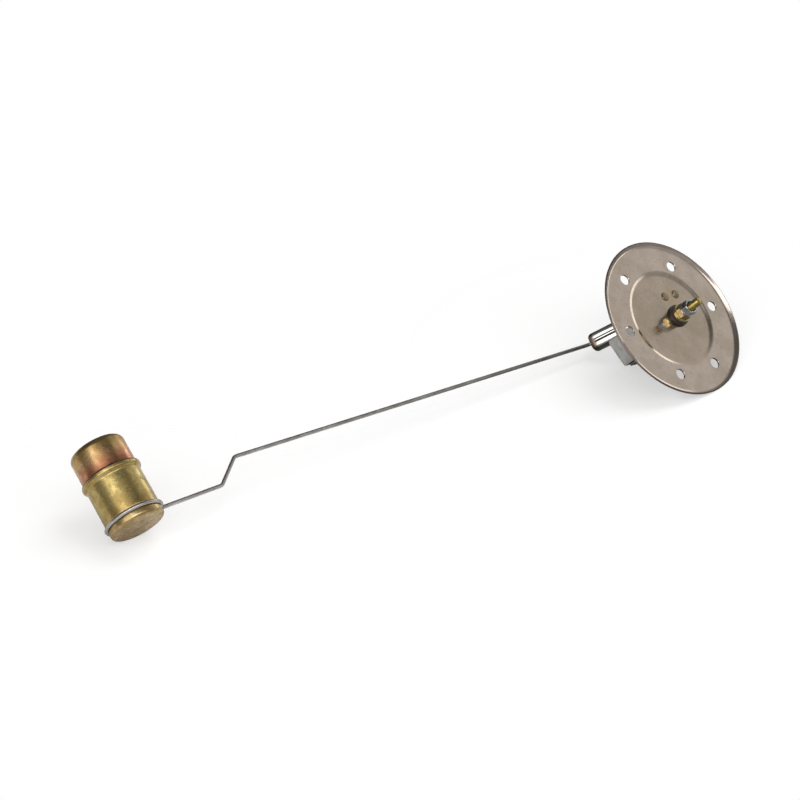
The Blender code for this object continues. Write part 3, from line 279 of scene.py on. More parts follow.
def stain_group():
    """Two broad tones of one surface with small dark specks, in patches."""
    inputs = [
        ("Light tone", COLOUR, (0.6, 0.6, 0.6, 1.0)),
        ("Dark tone", COLOUR, (0.4, 0.4, 0.4, 1.0)),
        ("Speck tone", COLOUR, (0.1, 0.1, 0.1, 1.0)),
        ("Patch scale", FLOAT, 60.0),
        ("Speck scale", FLOAT, 900.0),
        ("Speck amount", FLOAT, 0.3),
    ]
    tree, given, result = new_group("patchy_stain", inputs, [("Color", COLOUR)])
    broad = noise_at(tree, given["Patch scale"], 5.0, 0.6)
    mask = map_range(tree, broad, 0.36, 0.64)
    tone = mix_colour(tree, mask, given["Light tone"], given["Dark tone"])
    fine = noise_at(tree, given["Speck scale"], 2.0, 0.5)
    specks = map_range(tree, fine, 0.60, 0.72)
    specks = maths(tree, "MULTIPLY", specks, given["Speck amount"])
    colour = mix_colour(tree, specks, tone, given["Speck tone"])
    link(tree, colour, result["Color"])
    return tree


def rub_group():
    """Uneven gloss and shallow unevenness of handled metal."""
    inputs = [
        ("Smoothest", FLOAT, 0.15),
        ("Roughest", FLOAT, 0.35),
        ("Scale", FLOAT, 120.0),
        ("Grain scale", FLOAT, 1500.0),
    ]
    outputs = [("Roughness", FLOAT), ("Height", FLOAT)]
    tree, given, result = new_group("uneven_gloss", inputs, outputs)
    broad = noise_at(tree, given["Scale"], 6.0, 0.65)
    gloss = map_range(tree, broad, 0.30, 0.70, given["Smoothest"], given["Roughest"])
    fine = noise_at(tree, given["Grain scale"], 3.0, 0.6)
    height = maths(tree, "MULTIPLY_ADD", broad, 0.6, maths(tree, "MULTIPLY", fine, 0.4))
    link(tree, gloss, result["Roughness"])
    link(tree, height, result["Height"])
    return tree


def turned_group():
    """Fine rings left by turning, round an upright line through a point."""
    inputs = [("Centre", "NodeSocketVector", (0.0, 0.0, 0.0)), ("Ring pitch", FLOAT, 0.00016)]
    tree, given, result = new_group("turned_rings", inputs, [("Height", FLOAT)])
    place = object_place(tree)
    offset = vector_maths(tree, "SUBTRACT", place, given["Centre"])
    flat = vector_maths(tree, "MULTIPLY", offset, (1.0, 1.0, 0.35))
    radius = vector_maths(tree, "LENGTH", flat)
    turns = maths(tree, "DIVIDE", radius, given["Ring pitch"])
    wave = maths(tree, "SINE", maths(tree, "MULTIPLY", turns, 2 * pi))
    link(tree, wave, result["Height"])
    return tree


STAIN = stain_group()
RUB = rub_group()
TURNED = turned_group()


def place_group(tree, group, **values):
    node = add_node(tree, "ShaderNodeGroup", node_tree=group)
    for name, value in values.items():
        label = name.replace("_", " ").capitalize()
        if isinstance(value, tuple) and len(value) == 3 and node.inputs[label].type == "RGBA":
            value = (*value, 1.0)
        node.inputs[label].default_value = value
    return node.outputs


def bump(tree, height, distance, normal=None):
    node = add_node(tree, "ShaderNodeBump")
    node.inputs["Distance"].default_value = distance
    node.inputs["Strength"].default_value = 1.0
    link(tree, height, node.inputs["Height"])
    if normal is not None:
        link(tree, normal, node.inputs["Normal"])
    return node.outputs["Normal"]


def new_material(name, metallic):
    material = bpy.data.materials.new(name)
    material.use_nodes = True
    tree = material.node_tree
    shader = tree.nodes["Principled BSDF"]
    shader.inputs["Metallic"].default_value = metallic
    return material, tree, shader.inputs


def set_surface(tree, shader, colour, roughness, normal):
    link(tree, colour, shader["Base Color"])
    link(tree, roughness, shader["Roughness"])
    link(tree, normal, shader["Normal"])


def stained(name, light, dark, speck, gloss, patch=60.0, speck_scale=900.0, speck_amount=0.3,
            dent=0.00002, gloss_scale=120.0, metallic=1.0, turned=False):
    """A surface in two tones with uneven gloss, which most pieces have."""
    material, tree, shader = new_material(name, metallic)
    stain = place_group(
        tree, STAIN, Light_tone=light, Dark_tone=dark, Speck_tone=speck,
        Patch_scale=patch, Speck_scale=speck_scale, Speck_amount=speck_amount,
    )
    rub = place_group(tree, RUB, Smoothest=gloss[0], Roughest=gloss[1], Scale=gloss_scale)
    normal = None
    if turned:
        rings = place_group(tree, TURNED, Centre=tuple(TERMINAL))
        normal = bump(tree, rings["Height"], 0.000004)
    normal = bump(tree, rub["Height"], dent, normal=normal)
    set_surface(tree, shader, stain["Color"], rub["Roughness"], normal)
    return material


def ring_mask(tree, centre, radius, width):
    """1 on a circle in the plate's plane round a point, fading over a width."""
    place = object_place(tree)
    flat = vector_maths(tree, "MULTIPLY", place, (1.0, 1.0, 0.0))
    reach = vector_maths(tree, "DISTANCE", flat, Vector((centre[0], centre[1], 0.0)))
    away = maths(tree, "ABSOLUTE", maths(tree, "SUBTRACT", reach, radius))
    return fade(tree, away, 0.0, width)


def lip_edge_mask(tree, place):
    """Distance from the plate's axis, and 1 on the cut edge of the lip, which is dull and gets a
    painted shade.
    """
    radius = vector_maths(tree, "LENGTH", vector_maths(tree, "MULTIPLY", place, (1.0, 1.0, 0.0)))
    height = vector_maths(tree, "DOT_PRODUCT", place, (0.0, 0.0, 1.0))
    reach = maths(tree, "MULTIPLY", radius, cos(LIP_ANGLE))
    reach = maths(tree, "MULTIPLY_ADD", height, sin(LIP_ANGLE), reach)
    end = SEAT_RADIUS * cos(LIP_ANGLE) + (SHEET + LIP_BEND) * sin(LIP_ANGLE)
    return radius, map_range(tree, reach, end - 0.00016, end - 0.00004)


def make_flange_steel():
    """Rolled steel with brown and olive stain, darker round the rivets."""
    material, tree, shader = new_material("stained_sheet_steel", 1.0)
    stain = place_group(
        tree, STAIN, Light_tone=(0.64, 0.555, 0.485), Dark_tone=(0.545, 0.475, 0.395),
        Speck_tone=(0.25, 0.21, 0.17), Patch_scale=70.0, Speck_scale=700.0, Speck_amount=0.30,
    )
    place = object_place(tree)
    radius, edge = lip_edge_mask(tree, place)
    pan_edge = (0.0262, 0.0292)
    sunk = fade(tree, radius, *pan_edge)
    zones = mix_colour(tree, sunk, (1.08, 1.06, 1.05), (0.93, 0.90, 0.84))
    colour = mix_colour(tree, 1.0, stain["Color"], zones, "MULTIPLY")
    # Painted shade: the lip's cut edge darkened
    colour = mix_colour(tree, edge, colour, (0.20, 0.17, 0.15))
    for centre in RIVET_PLACES:
        brown = ring_mask(tree, centre, 0.0021, 0.0008)
        brown = maths(tree, "MULTIPLY", brown, 0.95)
        colour = mix_colour(tree, brown, colour, (0.11, 0.065, 0.03))
    middle = tuple((a + b) / 2 for a, b in zip(*RIVET_PLACES))
    yellow = ring_mask(tree, middle, 0.0, 0.0085)
    yellow = maths(tree, "MULTIPLY", yellow, 0.45)
    colour = mix_colour(tree, yellow, colour, (0.56, 0.45, 0.22))
    rub = place_group(tree, RUB, Smoothest=0.10, Roughest=0.24, Scale=90.0, Grain_scale=1200.0)
    gloss = maths(tree, "MULTIPLY_ADD", edge, 0.30, rub["Roughness"])
    set_surface(tree, shader, colour, gloss, bump(tree, rub["Height"], 0.00003))
    return material


def turned_brass(name, light, dark, gloss):
    return stained(
        name, light, dark, (0.18, 0.09, 0.03), gloss, patch=260.0, speck_scale=1500.0,
        speck_amount=0.35, dent=0.00001, gloss_scale=300.0, turned=True,
    )


def lever_offset(tree):
    """Place on the lever: distance along it from the spindle, and across its web."""
    place = object_place(tree)
    offset = vector_maths(tree, "SUBTRACT", place, LEVER_ORIGIN)
    heading = Vector((cos(LEVER_DIP), 0.0, -sin(LEVER_DIP)))
    along = vector_maths(tree, "DOT_PRODUCT", offset, heading)
    across = vector_maths(tree, "DOT_PRODUCT", offset, Vector((0.0, 1.0, 0.0)))
    return along, across


def line_mask(tree, across, middle, half):
    away = maths(tree, "ABSOLUTE", maths(tree, "SUBTRACT", across, middle))
    return fade(tree, away, half * 0.45, half)


def make_lever_plate():
    """Bright plating with painted shade in its two grooves and painted dark reflection along its
    edges, browned by wear at the nose, where painted reflection bands run across it.
    """
    material, tree, shader = new_material("bright_plate_wear_and_painted_shade", 1.0)
    stain = place_group(
        tree, STAIN, Light_tone=(0.80, 0.79, 0.76), Dark_tone=(0.70, 0.68, 0.63),
        Speck_tone=(0.40, 0.36, 0.30), Patch_scale=110.0, Speck_scale=900.0, Speck_amount=0.15,
    )
    rub = place_group(tree, RUB, Smoothest=0.10, Roughest=0.24, Scale=120.0)
    along, across = lever_offset(tree)
    colour = stain["Color"]
    # Painted shade: near-black lines along the two grooves
    groove_painted_shade = maths(tree, "MULTIPLY", line_mask(tree, across, -0.0010, 0.00040), 0.80)
    groove_painted_shade = maths(tree, "MAXIMUM", groove_painted_shade, line_mask(tree, across, 0.0004, 0.00062))
    colour = mix_colour(tree, groove_painted_shade, colour, (0.05, 0.045, 0.035))
    # Painted reflection: both long edges of the lever darkened
    edge = maths(tree, "ABSOLUTE", across)
    edge = map_range(tree, edge, 0.0031, 0.0040, 0.0, 0.80)
    colour = mix_colour(tree, edge, colour, (0.22, 0.20, 0.17))
    # Brown nose from wear, with painted reflection across it: near-black at one side, olive at the
    # other
    brown = ramp(tree, [
        (0.00, (0.05, 0.04, 0.035)),
        (0.30, (0.32, 0.23, 0.19)),
        (0.62, (0.26, 0.20, 0.14)),
        (1.00, (0.12, 0.10, 0.045)),
    ], map_range(tree, across, -0.0040, 0.0040, smooth=False))
    wander = maths(tree, "MULTIPLY_ADD", noise_at(tree, 500.0, 3.0), 0.0024, -0.0012)
    nose_wear_and_painted_bands = map_range(tree, maths(tree, "ADD", along, wander), 0.0325, 0.0345, 0.0, 0.92)
    colour = mix_colour(tree, nose_wear_and_painted_bands, colour, brown)
    gloss = maths(tree, "MULTIPLY_ADD", nose_wear_and_painted_bands, 0.20, rub["Roughness"])
    set_surface(tree, shader, colour, gloss, bump(tree, rub["Height"], 0.00002))
    return material


def along_float(tree):
    """Distance along the float from the wire's loop, negative toward the upper cup."""
    place = object_place(tree)
    offset = vector_maths(tree, "SUBTRACT", place, LOOP_CENTRE)
    return vector_maths(tree, "DOT_PRODUCT", offset, FLOAT_AXIS)


def make_float_brass(name, stops, blotch):
    """Tarnished drawn brass whose tint changes along the float, with burnt blotches."""
    material, tree, shader = new_material(name, 1.0)
    wander = noise_at(tree, 95.0, 4.0, 0.6)
    wander = maths(tree, "MULTIPLY_ADD", wander, 0.012, -0.006)
    level = maths(tree, "ADD", along_float(tree), wander)
    share = map_range(tree, level, LOOP_FROM_END - FLOAT_LENGTH, LOOP_FROM_END, smooth=False)
    heat = ramp(tree, stops, share)
    stain = place_group(
        tree, STAIN, Light_tone=(1.0, 1.0, 1.0), Dark_tone=(0.70, 0.63, 0.52),
        Speck_tone=(0.30, 0.20, 0.12), Patch_scale=150.0, Speck_scale=1100.0, Speck_amount=0.4,
    )
    colour = mix_colour(tree, 1.0, heat, stain["Color"], "MULTIPLY")
    shift = vector_maths(tree, "ADD", object_place(tree), (0.37, 0.11, 0.23))
    burnt = noise_at(tree, 210.0, 5.0, 0.62, vector=shift)
    burnt = map_range(tree, burnt, 0.50, 0.68, 0.0, 0.65)
    colour = mix_colour(tree, burnt, colour, blotch)
    rub = place_group(tree, RUB, Smoothest=0.20, Roughest=0.36, Scale=150.0)
    roughness = maths(tree, "MULTIPLY_ADD", burnt, 0.15, rub["Roughness"])
    set_surface(tree, shader, colour, roughness, bump(tree, rub["Height"], 0.00008))
    return material


def moulding(name, light, dark, gloss, scale):
    return stained(
        name, light, dark, dark, gloss, patch=scale, speck_scale=1800.0, speck_amount=0.5,
        dent=0.00001, gloss_scale=scale * 2, metallic=0.0,
    )


def make_finishes():
    upper_stops = [
        (0.00, (0.50, 0.37, 0.16)),
        (0.12, (0.60, 0.42, 0.18)),
        (0.22, (0.64, 0.38, 0.21)),
        (0.30, (0.62, 0.30, 0.18)),
        (0.37, (0.34, 0.15, 0.09)),
    ]
    lower_stops = [
        (0.34, (0.42, 0.31, 0.14)),
        (0.44, (0.58, 0.46, 0.19)),
        (0.66, (0.56, 0.45, 0.18)),
        (0.84, (0.50, 0.37, 0.15)),
        (1.00, (0.50, 0.38, 0.20)),
    ]
    return {
        "flange": make_flange_steel(),
        "zinc": stained(
            "die_cast_zinc", (0.74, 0.73, 0.70), (0.57, 0.56, 0.53), (0.28, 0.26, 0.24),
            (0.38, 0.62), patch=240.0, speck_scale=1300.0, speck_amount=0.5, dent=0.00005,
            metallic=0.35,
        ),
        "plated": stained(
            "bright_plate", (0.84, 0.83, 0.80), (0.76, 0.74, 0.69), (0.40, 0.36, 0.30),
            (0.07, 0.20), patch=110.0, speck_amount=0.15,
        ),
        "lever": make_lever_plate(),
        # Cover sheet kept dark as painted shade, where the housing's side lies in shadow
        "cover_shade_plate": stained(
            "cover_sheet_painted_shade", (0.36, 0.35, 0.33), (0.25, 0.24, 0.22), (0.12, 0.11, 0.10),
            (0.42, 0.62), patch=240.0, speck_amount=0.5, metallic=0.55,
        ),
        "blue_zinc": stained(
            "blue_zinc_plate", (0.60, 0.65, 0.70), (0.47, 0.50, 0.53), (0.25, 0.25, 0.25),
            (0.16, 0.34), patch=220.0, dent=0.000015,
        ),
        "rivet": stained(
            "stained_rivet", (0.40, 0.33, 0.25), (0.22, 0.16, 0.10), (0.10, 0.06, 0.03),
            (0.20, 0.38), patch=420.0, speck_amount=0.5,
        ),
        "brass": turned_brass(
            "turned_brass", (0.56, 0.45, 0.22), (0.40, 0.28, 0.14), (0.22, 0.38)
        ),
        "green_brass": turned_brass(
            "aged_brass_washer", (0.60, 0.56, 0.30), (0.44, 0.40, 0.20), (0.14, 0.28)
        ),
        "dark_brass": turned_brass(
            "dark_stud_brass", (0.54, 0.42, 0.13), (0.34, 0.25, 0.07), (0.20, 0.36)
        ),
        "upper_cup": make_float_brass(
            "heat_stained_float_brass", upper_stops, (0.30, 0.13, 0.08)
        ),
        "lower_cup": make_float_brass(
            "tarnished_float_brass", lower_stops, (0.32, 0.20, 0.07)
        ),
        "wire": stained(
            "drawn_steel_wire", (0.56, 0.54, 0.52), (0.40, 0.38, 0.36), (0.18, 0.14, 0.11),
            (0.22, 0.42), patch=90.0, speck_amount=0.4, dent=0.00001,
        ),
        "solder": stained(
            "browned_solder", (0.42, 0.29, 0.19), (0.24, 0.16, 0.10), (0.12, 0.08, 0.05),
            (0.30, 0.55), patch=300.0, dent=0.00012, gloss_scale=420.0,
        ),
        "alloy_wire": stained(
            "resistance_wire", (0.50, 0.38, 0.28), (0.40, 0.29, 0.20), (0.15, 0.10, 0.08),
            (0.25, 0.40), patch=300.0,
        ),
        "black": moulding(
            "black_moulding", (0.035, 0.028, 0.024), (0.018, 0.014, 0.012), (0.34, 0.50), 160.0
        ),
        "fibre": moulding(
            "red_fibre", (0.16, 0.055, 0.035), (0.09, 0.035, 0.025), (0.50, 0.68), 240.0
        ),
    }


# Shapes

def add_object(name, data):
    item = bpy.data.objects.new(name, data)
    bpy.context.scene.collection.objects.link(item)
    return item


def new_piece(name, mesh, material, body, slot, *nodes):
    piece = add_object(name, mesh)
    piece.data.materials.clear()
    piece.data.materials.append(material)
    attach(piece, body)
    if nodes:
        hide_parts(*nodes)
    return piece


def smooth(mesh, angle=35.0):
    for face in mesh.polygons:
        face.use_smooth = True
    mesh.set_sharp_from_angle(angle=radians(angle))


def soften_edges(piece, width, angle):
    step = piece.modifiers.new("Soft edges", "BEVEL")
    step.limit_method = "ANGLE"
    step.angle_limit = radians(angle)
    step.width = width
    step.segments = 2
    step.harden_normals = True
    step.use_clamp_overlap = True


def mesh_of(shape, name):
    """New mesh from an edited shape, which is freed."""
    mesh = bpy.data.meshes.new(name)
    shape.to_mesh(mesh)
    shape.free()
    return mesh


def weld(mesh, flatten=False):
    """Join the points that coincide and, where asked, drop edges inside flat faces."""
    shape = bmesh.new()
    shape.from_mesh(mesh)
    bmesh.ops.remove_doubles(shape, verts=shape.verts, dist=1e-6)
    if flatten:
        bmesh.ops.dissolve_limit(
            shape, angle_limit=radians(0.5), verts=shape.verts, edges=shape.edges
        )
    shape.to_mesh(mesh)
    shape.free()


def applied_mesh(item):
    """Mesh of an object with its modifiers or its curve carried out."""
    bpy.context.view_layer.update()
    graph = bpy.context.evaluated_depsgraph_get()
    return bpy.data.meshes.new_from_object(item.evaluated_get(graph))


def lathe_mesh(name, profile, place, steps, closed=False):
    """Spin (radius, height) points round Z. Points on the axis become one vertex."""
    shape = bmesh.new()
    rings = []
    for radius, height in profile:
        if radius < 1e-7:
            rings.append([shape.verts.new((0.0, 0.0, height))])
            continue
        turn = [2 * pi * i / steps for i in range(steps)]
        rings.append([shape.verts.new((radius * cos(a), radius * sin(a), height)) for a in turn])
    pairs = list(zip(rings, rings[1:]))
    if closed:
        pairs.append((rings[-1], rings[0]))
    for inner, outer in pairs:
        for i in range(steps):
            j = (i + 1) % steps
            if len(inner) == 1 and len(outer) == 1:
                continue
            if len(inner) == 1:
                shape.faces.new((inner[0], outer[i], outer[j]))
            elif len(outer) == 1:
                shape.faces.new((inner[i], inner[j], outer[0]))
            else:
                shape.faces.new((inner[i], inner[j], outer[j], outer[i]))
    bmesh.ops.recalc_face_normals(shape, faces=shape.faces)
    shape.transform(place)
    return mesh_of(shape, name)


def stacked_mesh(name, rings, place):
    """Closed mesh through rings of points, with a flat face at each end."""
    shape = bmesh.new()
    rings = [[shape.verts.new(point) for point in ring] for ring in rings]
    count = len(rings[0])
    for lower, upper in zip(rings, rings[1:]):
        for i in range(count):
            j = (i + 1) % count
            shape.faces.new((lower[i], lower[j], upper[j], upper[i]))
    shape.faces.new(rings[0][::-1])
    shape.faces.new(rings[-1])
    shape.transform(place)
    return mesh_of(shape, name)


def cutter(name, profile, place, steps=64):
    return add_object(name, lathe_mesh(name, profile, place, steps))


def cut_with(mesh, tools, operation="DIFFERENCE"):
    """Apply a Boolean of several shapes to a mesh, and give back the finished mesh."""
    body = add_object("work", mesh)
    for tool in tools:
        step = body.modifiers.new(tool.name, "BOOLEAN")
        step.operation = operation
        step.solver = "EXACT"
        step.object = tool
    done = applied_mesh(body)
    for item in [body] + tools:
        bpy.data.objects.remove(item)
    return done


def rod_profile(radius):
    return [(0.0, -CUT_REACH), (radius, -CUT_REACH), (radius, CUT_REACH), (0.0, CUT_REACH)]


def flange_face(depth):
    """Half section of one face of the sheet, at a depth below its upper face."""
    pan_middle = 0.012
    seat_middle = 0.0335
    face = [(0.0, PAN_TOP_Z - depth), (pan_middle, PAN_TOP_Z - depth)]
    wall_steps = 16
    for i in range(wall_steps + 1):
        share = i / wall_steps
        rise = (SHEET - PAN_TOP_Z) * (1.0 - cos(pi * share)) / 2
        radius = PAN_RADIUS + (PAN_WALL_OUT - PAN_RADIUS) * share
        face.append((radius, PAN_TOP_Z - depth + rise))
    face.append((seat_middle, SHEET - depth))
    lip_steps = 14
    for i in range(lip_steps + 1):
        turn = LIP_ANGLE * i / lip_steps
        if i == lip_steps:
            turn -= RIM_ROUNDING / LIP_BEND
        face.append(lip_point(turn, depth))
    return face


def lip_point(turn, depth):
    reach = LIP_BEND + depth
    return SEAT_RADIUS + reach * sin(turn), SHEET + LIP_BEND - reach * cos(turn)


def rim_edge():
    """Two points that round off the cut edge of the lip."""
    return [lip_point(LIP_ANGLE, depth) for depth in (RIM_ROUNDING, SHEET - RIM_ROUNDING)]


def hole_profile(radius):
    """Through hole with its burr taken off at both faces of the seat."""
    wide = radius + EDGE_BREAK
    return [
        (0.0, -SHEET), (wide + SHEET, -SHEET), (wide, 0.0), (radius, EDGE_BREAK),
        (radius, SHEET - EDGE_BREAK), (wide, SHEET), (wide + SHEET, 2 * SHEET), (0.0, 2 * SHEET),
    ]


def make_flange(finish):
    section = flange_face(0.0) + rim_edge() + flange_face(SHEET)[::-1]
    mesh = lathe_mesh("flange_pressing", section, Matrix(), 256)
    tools = []
    for angle in BOLT_ANGLES:
        turn = radians(angle)
        place = Matrix.Translation((BOLT_CIRCLE * cos(turn), BOLT_CIRCLE * sin(turn), 0.0))
        tools.append(cutter("bolt_hole", hole_profile(BOLT_HOLE / 2), place))
    for x, y in RIVET_PLACES:
        place = Matrix.Translation((x, y, 0.0))
        tools.append(cutter("rivet_hole", rod_profile(RIVET_BORE / 2), place))
    tools.append(cutter("stud_hole", rod_profile(STUD_HOLE_RADIUS), AT_TERMINAL))
    mesh = cut_with(mesh, tools)
    smooth(mesh, 30.0)
    new_piece(
        "flange_pressing", mesh, finish["flange"], BODY, "stainless_sheet", "flange_plate"
    )


def thread_mesh(name, low, thread_low, high):
    """Stud with a helical thread cut into it, drawn in at its crown."""
    around = 40
    per_turn = 8
    crown_height = 0.0006
    crown_inset = 0.0005
    rings = []
    count = int((high - thread_low) / THREAD_PITCH * per_turn)
    levels = [low, low + 0.0001, thread_low]
    levels += [thread_low + (high - thread_low) * (i + 1) / count for i in range(count)]
    for level in levels:
        ring = []
        for i in range(around):
            turn = 2 * pi * i / around
            phase = (level / THREAD_PITCH - i / around) % 1.0
            depth = abs(2 * phase - 1.0)
            depth = min(max(depth * 1.3 - 0.15, 0.0), 1.0) * THREAD_DEPTH
            if level <= thread_low:
                depth = 0.0
            below_crown = min((high - level) / crown_height, 1.0)
            taper = (1.0 - below_crown) * crown_inset
            radius = STUD_RADIUS - max(depth, taper)
            ring.append((radius * cos(turn), radius * sin(turn), level))
        rings.append(ring)
    return stacked_mesh(name, rings, AT_TERMINAL)


def make_stud(finish):
    head_low = -0.0036
    head_top = -0.0028
    thread_low = 0.0022
    mesh = thread_mesh("threaded_stud", head_top, thread_low, STUD_TOP_Z)
    smooth(mesh, 60.0)
    new_piece("threaded_stud", mesh, finish["dark_brass"], BODY, "brass", "terminal_stud")
    head = [
        (0.0, head_low), (0.0026, head_low), (0.0034, -0.0030), (0.0034, head_top),
        (0.0, head_top),
    ]
    mesh = lathe_mesh("peened_stud_head", head, AT_TERMINAL, 64)
    smooth(mesh)
    new_piece("peened_stud_head", mesh, finish["brass"], BODY, "brass")


def make_rivets(finish):
    """Hammered rivets, nearly flush with the pan, with their tails under the foot."""
    shank = 0.0014
    head = 0.0019
    tail = 0.0021
    tail_top = FOOT_UNDER_Z - 0.0003
    profile = [
        (0.0, tail_top - 0.0006), (tail - 0.0004, tail_top - 0.0006), (tail, tail_top - 0.0003),
        (tail, tail_top), (shank, tail_top), (shank, PAN_TOP_Z), (head, PAN_TOP_Z + 0.00003),
        (head - 0.0001, PAN_TOP_Z + 0.00016), (head - 0.0005, PAN_TOP_Z + 0.00030),
        (head - 0.0011, PAN_TOP_Z + 0.00024), (0.0, PAN_TOP_Z + 0.00018),
    ]
    for side, (x, y) in zip(("front", "rear"), RIVET_PLACES):
        mesh = lathe_mesh(side + "_foot_rivet", profile, Matrix.Translation((x, y, 0.0)), 72)
        smooth(mesh, 50.0)
        new_piece(side + "_foot_rivet", mesh, finish["rivet"], BODY, "brass", "foot_rivet_" + side)


def make_bush(finish):
    """Moulded collar on the pan, with the sleeve that lines the plate's hole."""
    bore = 0.0026
    low = PAN_TOP_Z + 0.00004
    high = PAN_TOP_Z + 0.0016
    head = 0.0061
    sleeve_end = PAN_TOP_Z - SHEET
    profile = [
        (bore, sleeve_end), (0.0035, sleeve_end), (0.0035, low), (head - 0.0001, low),
        (head, low + 0.0001), (head, high - 0.0005), (head - 0.00015, high - 0.0002),
        (head - 0.0005, high), (bore, high),
    ]
    mesh = lathe_mesh("moulded_bush", profile, AT_TERMINAL, 96, closed=True)
    smooth(mesh, 30.0)
    new_piece("moulded_bush", mesh, finish["black"], BODY, "moulded_insulator", "insulating_bush")


def washer(name, outer, bore, low, high, material, slot, node):
    round_off = min((high - low) * 0.3, 0.00018)
    profile = [
        (bore, low),
        (outer - round_off, low),
        (outer, low + round_off),
        (outer, high - round_off),
        (outer - round_off * 0.3, high - round_off * 0.3),
        (outer - round_off, high),
        (bore + round_off * 0.6, high),
        (bore, high - round_off * 0.6),
    ]
    mesh = lathe_mesh(name, profile, AT_TERMINAL, 96, closed=True)
    smooth(mesh, 30.0)
    new_piece(name, mesh, material, BODY, slot, node)


def hexagon_mesh(name, flats, low, high, place):
    radius = flats / sqrt(3.0)
    turns = [radians(60.0 * i + 30.0) for i in range(6)]
    outline = [(radius * cos(turn), radius * sin(turn)) for turn in turns]
    rings = [[(x, y, level) for x, y in outline] for level in (low, high)]
    return stacked_mesh(name, rings, place)


def hex_nut(name, flats, low, high, turn, material, slot, node):
    """Hexagon with its corners turned off at both ends, and a countersunk bore."""
    place = AT_TERMINAL @ Matrix.Rotation(turn, 4, "Z")
    corner = flats / sqrt(3.0)
    flat = flats / 2 * 0.97
    drop = (corner - flat) * tan(radians(30.0))
    cap = [
        (0.0, low), (flat, low), (corner + 0.0001, low + drop),
        (corner + 0.0001, high - drop), (flat, high), (0.0, high),
    ]
    bore = STUD_RADIUS + 0.0003
    depth = 0.00045
    beyond = 0.001
    sink = bore + depth + beyond
    hole = [
        (0.0, low - beyond), (sink, low - beyond), (bore, low + depth),
        (bore, high - depth), (sink, high + beyond), (0.0, high + beyond),
    ]
    mesh = hexagon_mesh(name, flats, low, high, place)
    mesh = cut_with(mesh, [cutter("nut_crown", cap, place, 128)], "INTERSECT")
    mesh = cut_with(mesh, [cutter("nut_bore", hole, place, 96)])
    smooth(mesh, 25.0)
    piece = new_piece(name, mesh, material, BODY, slot, node)
    soften_edges(piece, 0.00008, 22.0)


def refine(node, name, material, body, slot, edge):
    """A smooth copy of a CAD solid with softened edges, which stands for it."""
    angle = 38.0
    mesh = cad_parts[node].data.copy()
    mesh.name = name
    weld(mesh, flatten=True)
    smooth(mesh, angle)
    piece = new_piece(name, mesh, material, body, slot, node)
    if edge > 0.0:
        soften_edges(piece, edge, angle)
    return piece


def make_housing(finish):
    """Casting with its open rim rounded off, and the cover drawn in from the rounding."""
    casting = refine("housing", "cast_housing", finish["zinc"], BODY, "zinc_casting", 0.0)
    shape = bmesh.new()
    shape.from_mesh(casting.data)
    low, high = mesh_box(casting.data)
    touch = 1e-5
    weight = shape.edges.layers.float.new("bevel_weight_edge")
    for edge in shape.edges:
        middle = (edge.verts[0].co + edge.verts[1].co) / 2
        rim = all(abs(vertex.co.y - high.y) < touch for vertex in edge.verts)
        outside = (
            abs(middle.x - low.x) < touch or abs(middle.x - high.x) < touch
            or middle.z < RIM_ROUND_BELOW_Z
        )
        if rim and outside:
            edge[weight] = 1.0
    shape.to_mesh(casting.data)
    shape.free()
    step = casting.modifiers.new("Rounded rim", "BEVEL")
    step.limit_method = "WEIGHT"
    step.width = RIM_ROUND
    step.segments = 5
    # The cover's dark tone is painted shade
    cover = refine(
        "housing_cover", "pressed_cover", finish["cover_shade_plate"], BODY, "zinc_plating", 0.00012
    )
    low, high = mesh_box(cover.data)
    middle = (low + high) / 2
    edge_band = 0.0030
    for vertex in cover.data.vertices:
        for axis in (0, 2):
            away = vertex.co[axis] - middle[axis]
            reach = (high[axis] - low[axis]) / 2
            if abs(away) > reach - edge_band:
                vertex.co[axis] -= COVER_INSET if away > 0 else -COVER_INSET


def mesh_box(mesh):
    places = [vertex.co for vertex in mesh.vertices]
    low = [min(place[axis] for place in places) for axis in range(3)]
    high = [max(place[axis] for place in places) for axis in range(3)]
    return Vector(low), Vector(high)


def fillet_path(corners, radius, steps):
    """Line through the corners with each inner corner rounded to an arc."""
    path = [corners[0]]
    for before, corner, after in zip(corners, corners[1:], corners[2:]):
        back = (before - corner).normalized()
        ahead = (after - corner).normalized()
        opening = acos(max(-1.0, min(1.0, back.dot(ahead))))
        reach = radius / tan(opening / 2)
        limit = 0.45 * min((before - corner).length, (after - corner).length)
        reach = min(reach, limit)
        for i in range(steps + 1):
            share = i / steps
            first = corner + back * reach * (1 - share)
            second = corner + ahead * reach * share
            path.append(first.lerp(second, share))
    path.append(corners[-1])
    return path


def make_wire(finish):
    corners = [Vector(c) for c in WIRE_CORNERS]
    turns = 96
    loop = []
    span = 2 * pi - LOOP_OPENING - LOOP_FIRST
    for i in range(turns + 1):
        angle = pi + LOOP_FIRST + span * i / turns
        place = Vector((LOOP_RADIUS * cos(angle), LOOP_RADIUS * sin(angle), 0.0))
        loop.append(FLOAT_FRAME @ place)
    path = fillet_path(corners + [loop[0]], BEND_RADIUS, 14)[:-1] + loop
    curve = bpy.data.curves.new("float_wire_line", "CURVE")
    curve.dimensions = "3D"
    curve.bevel_depth = WIRE_RADIUS
    curve.bevel_resolution = 8
    curve.use_fill_caps = True
    line = curve.splines.new("POLY")
    line.points.add(len(path) - 1)
    for point, place in zip(line.points, path):
        point.co = (*place, 1.0)
    holder = add_object("wire_line", curve)
    mesh = applied_mesh(holder)
    bpy.data.objects.remove(holder)
    weld(mesh)
    smooth(mesh, 50.0)
    new_piece("bent_float_wire", mesh, finish["wire"], ARM, "steel_wire", "float_wire")


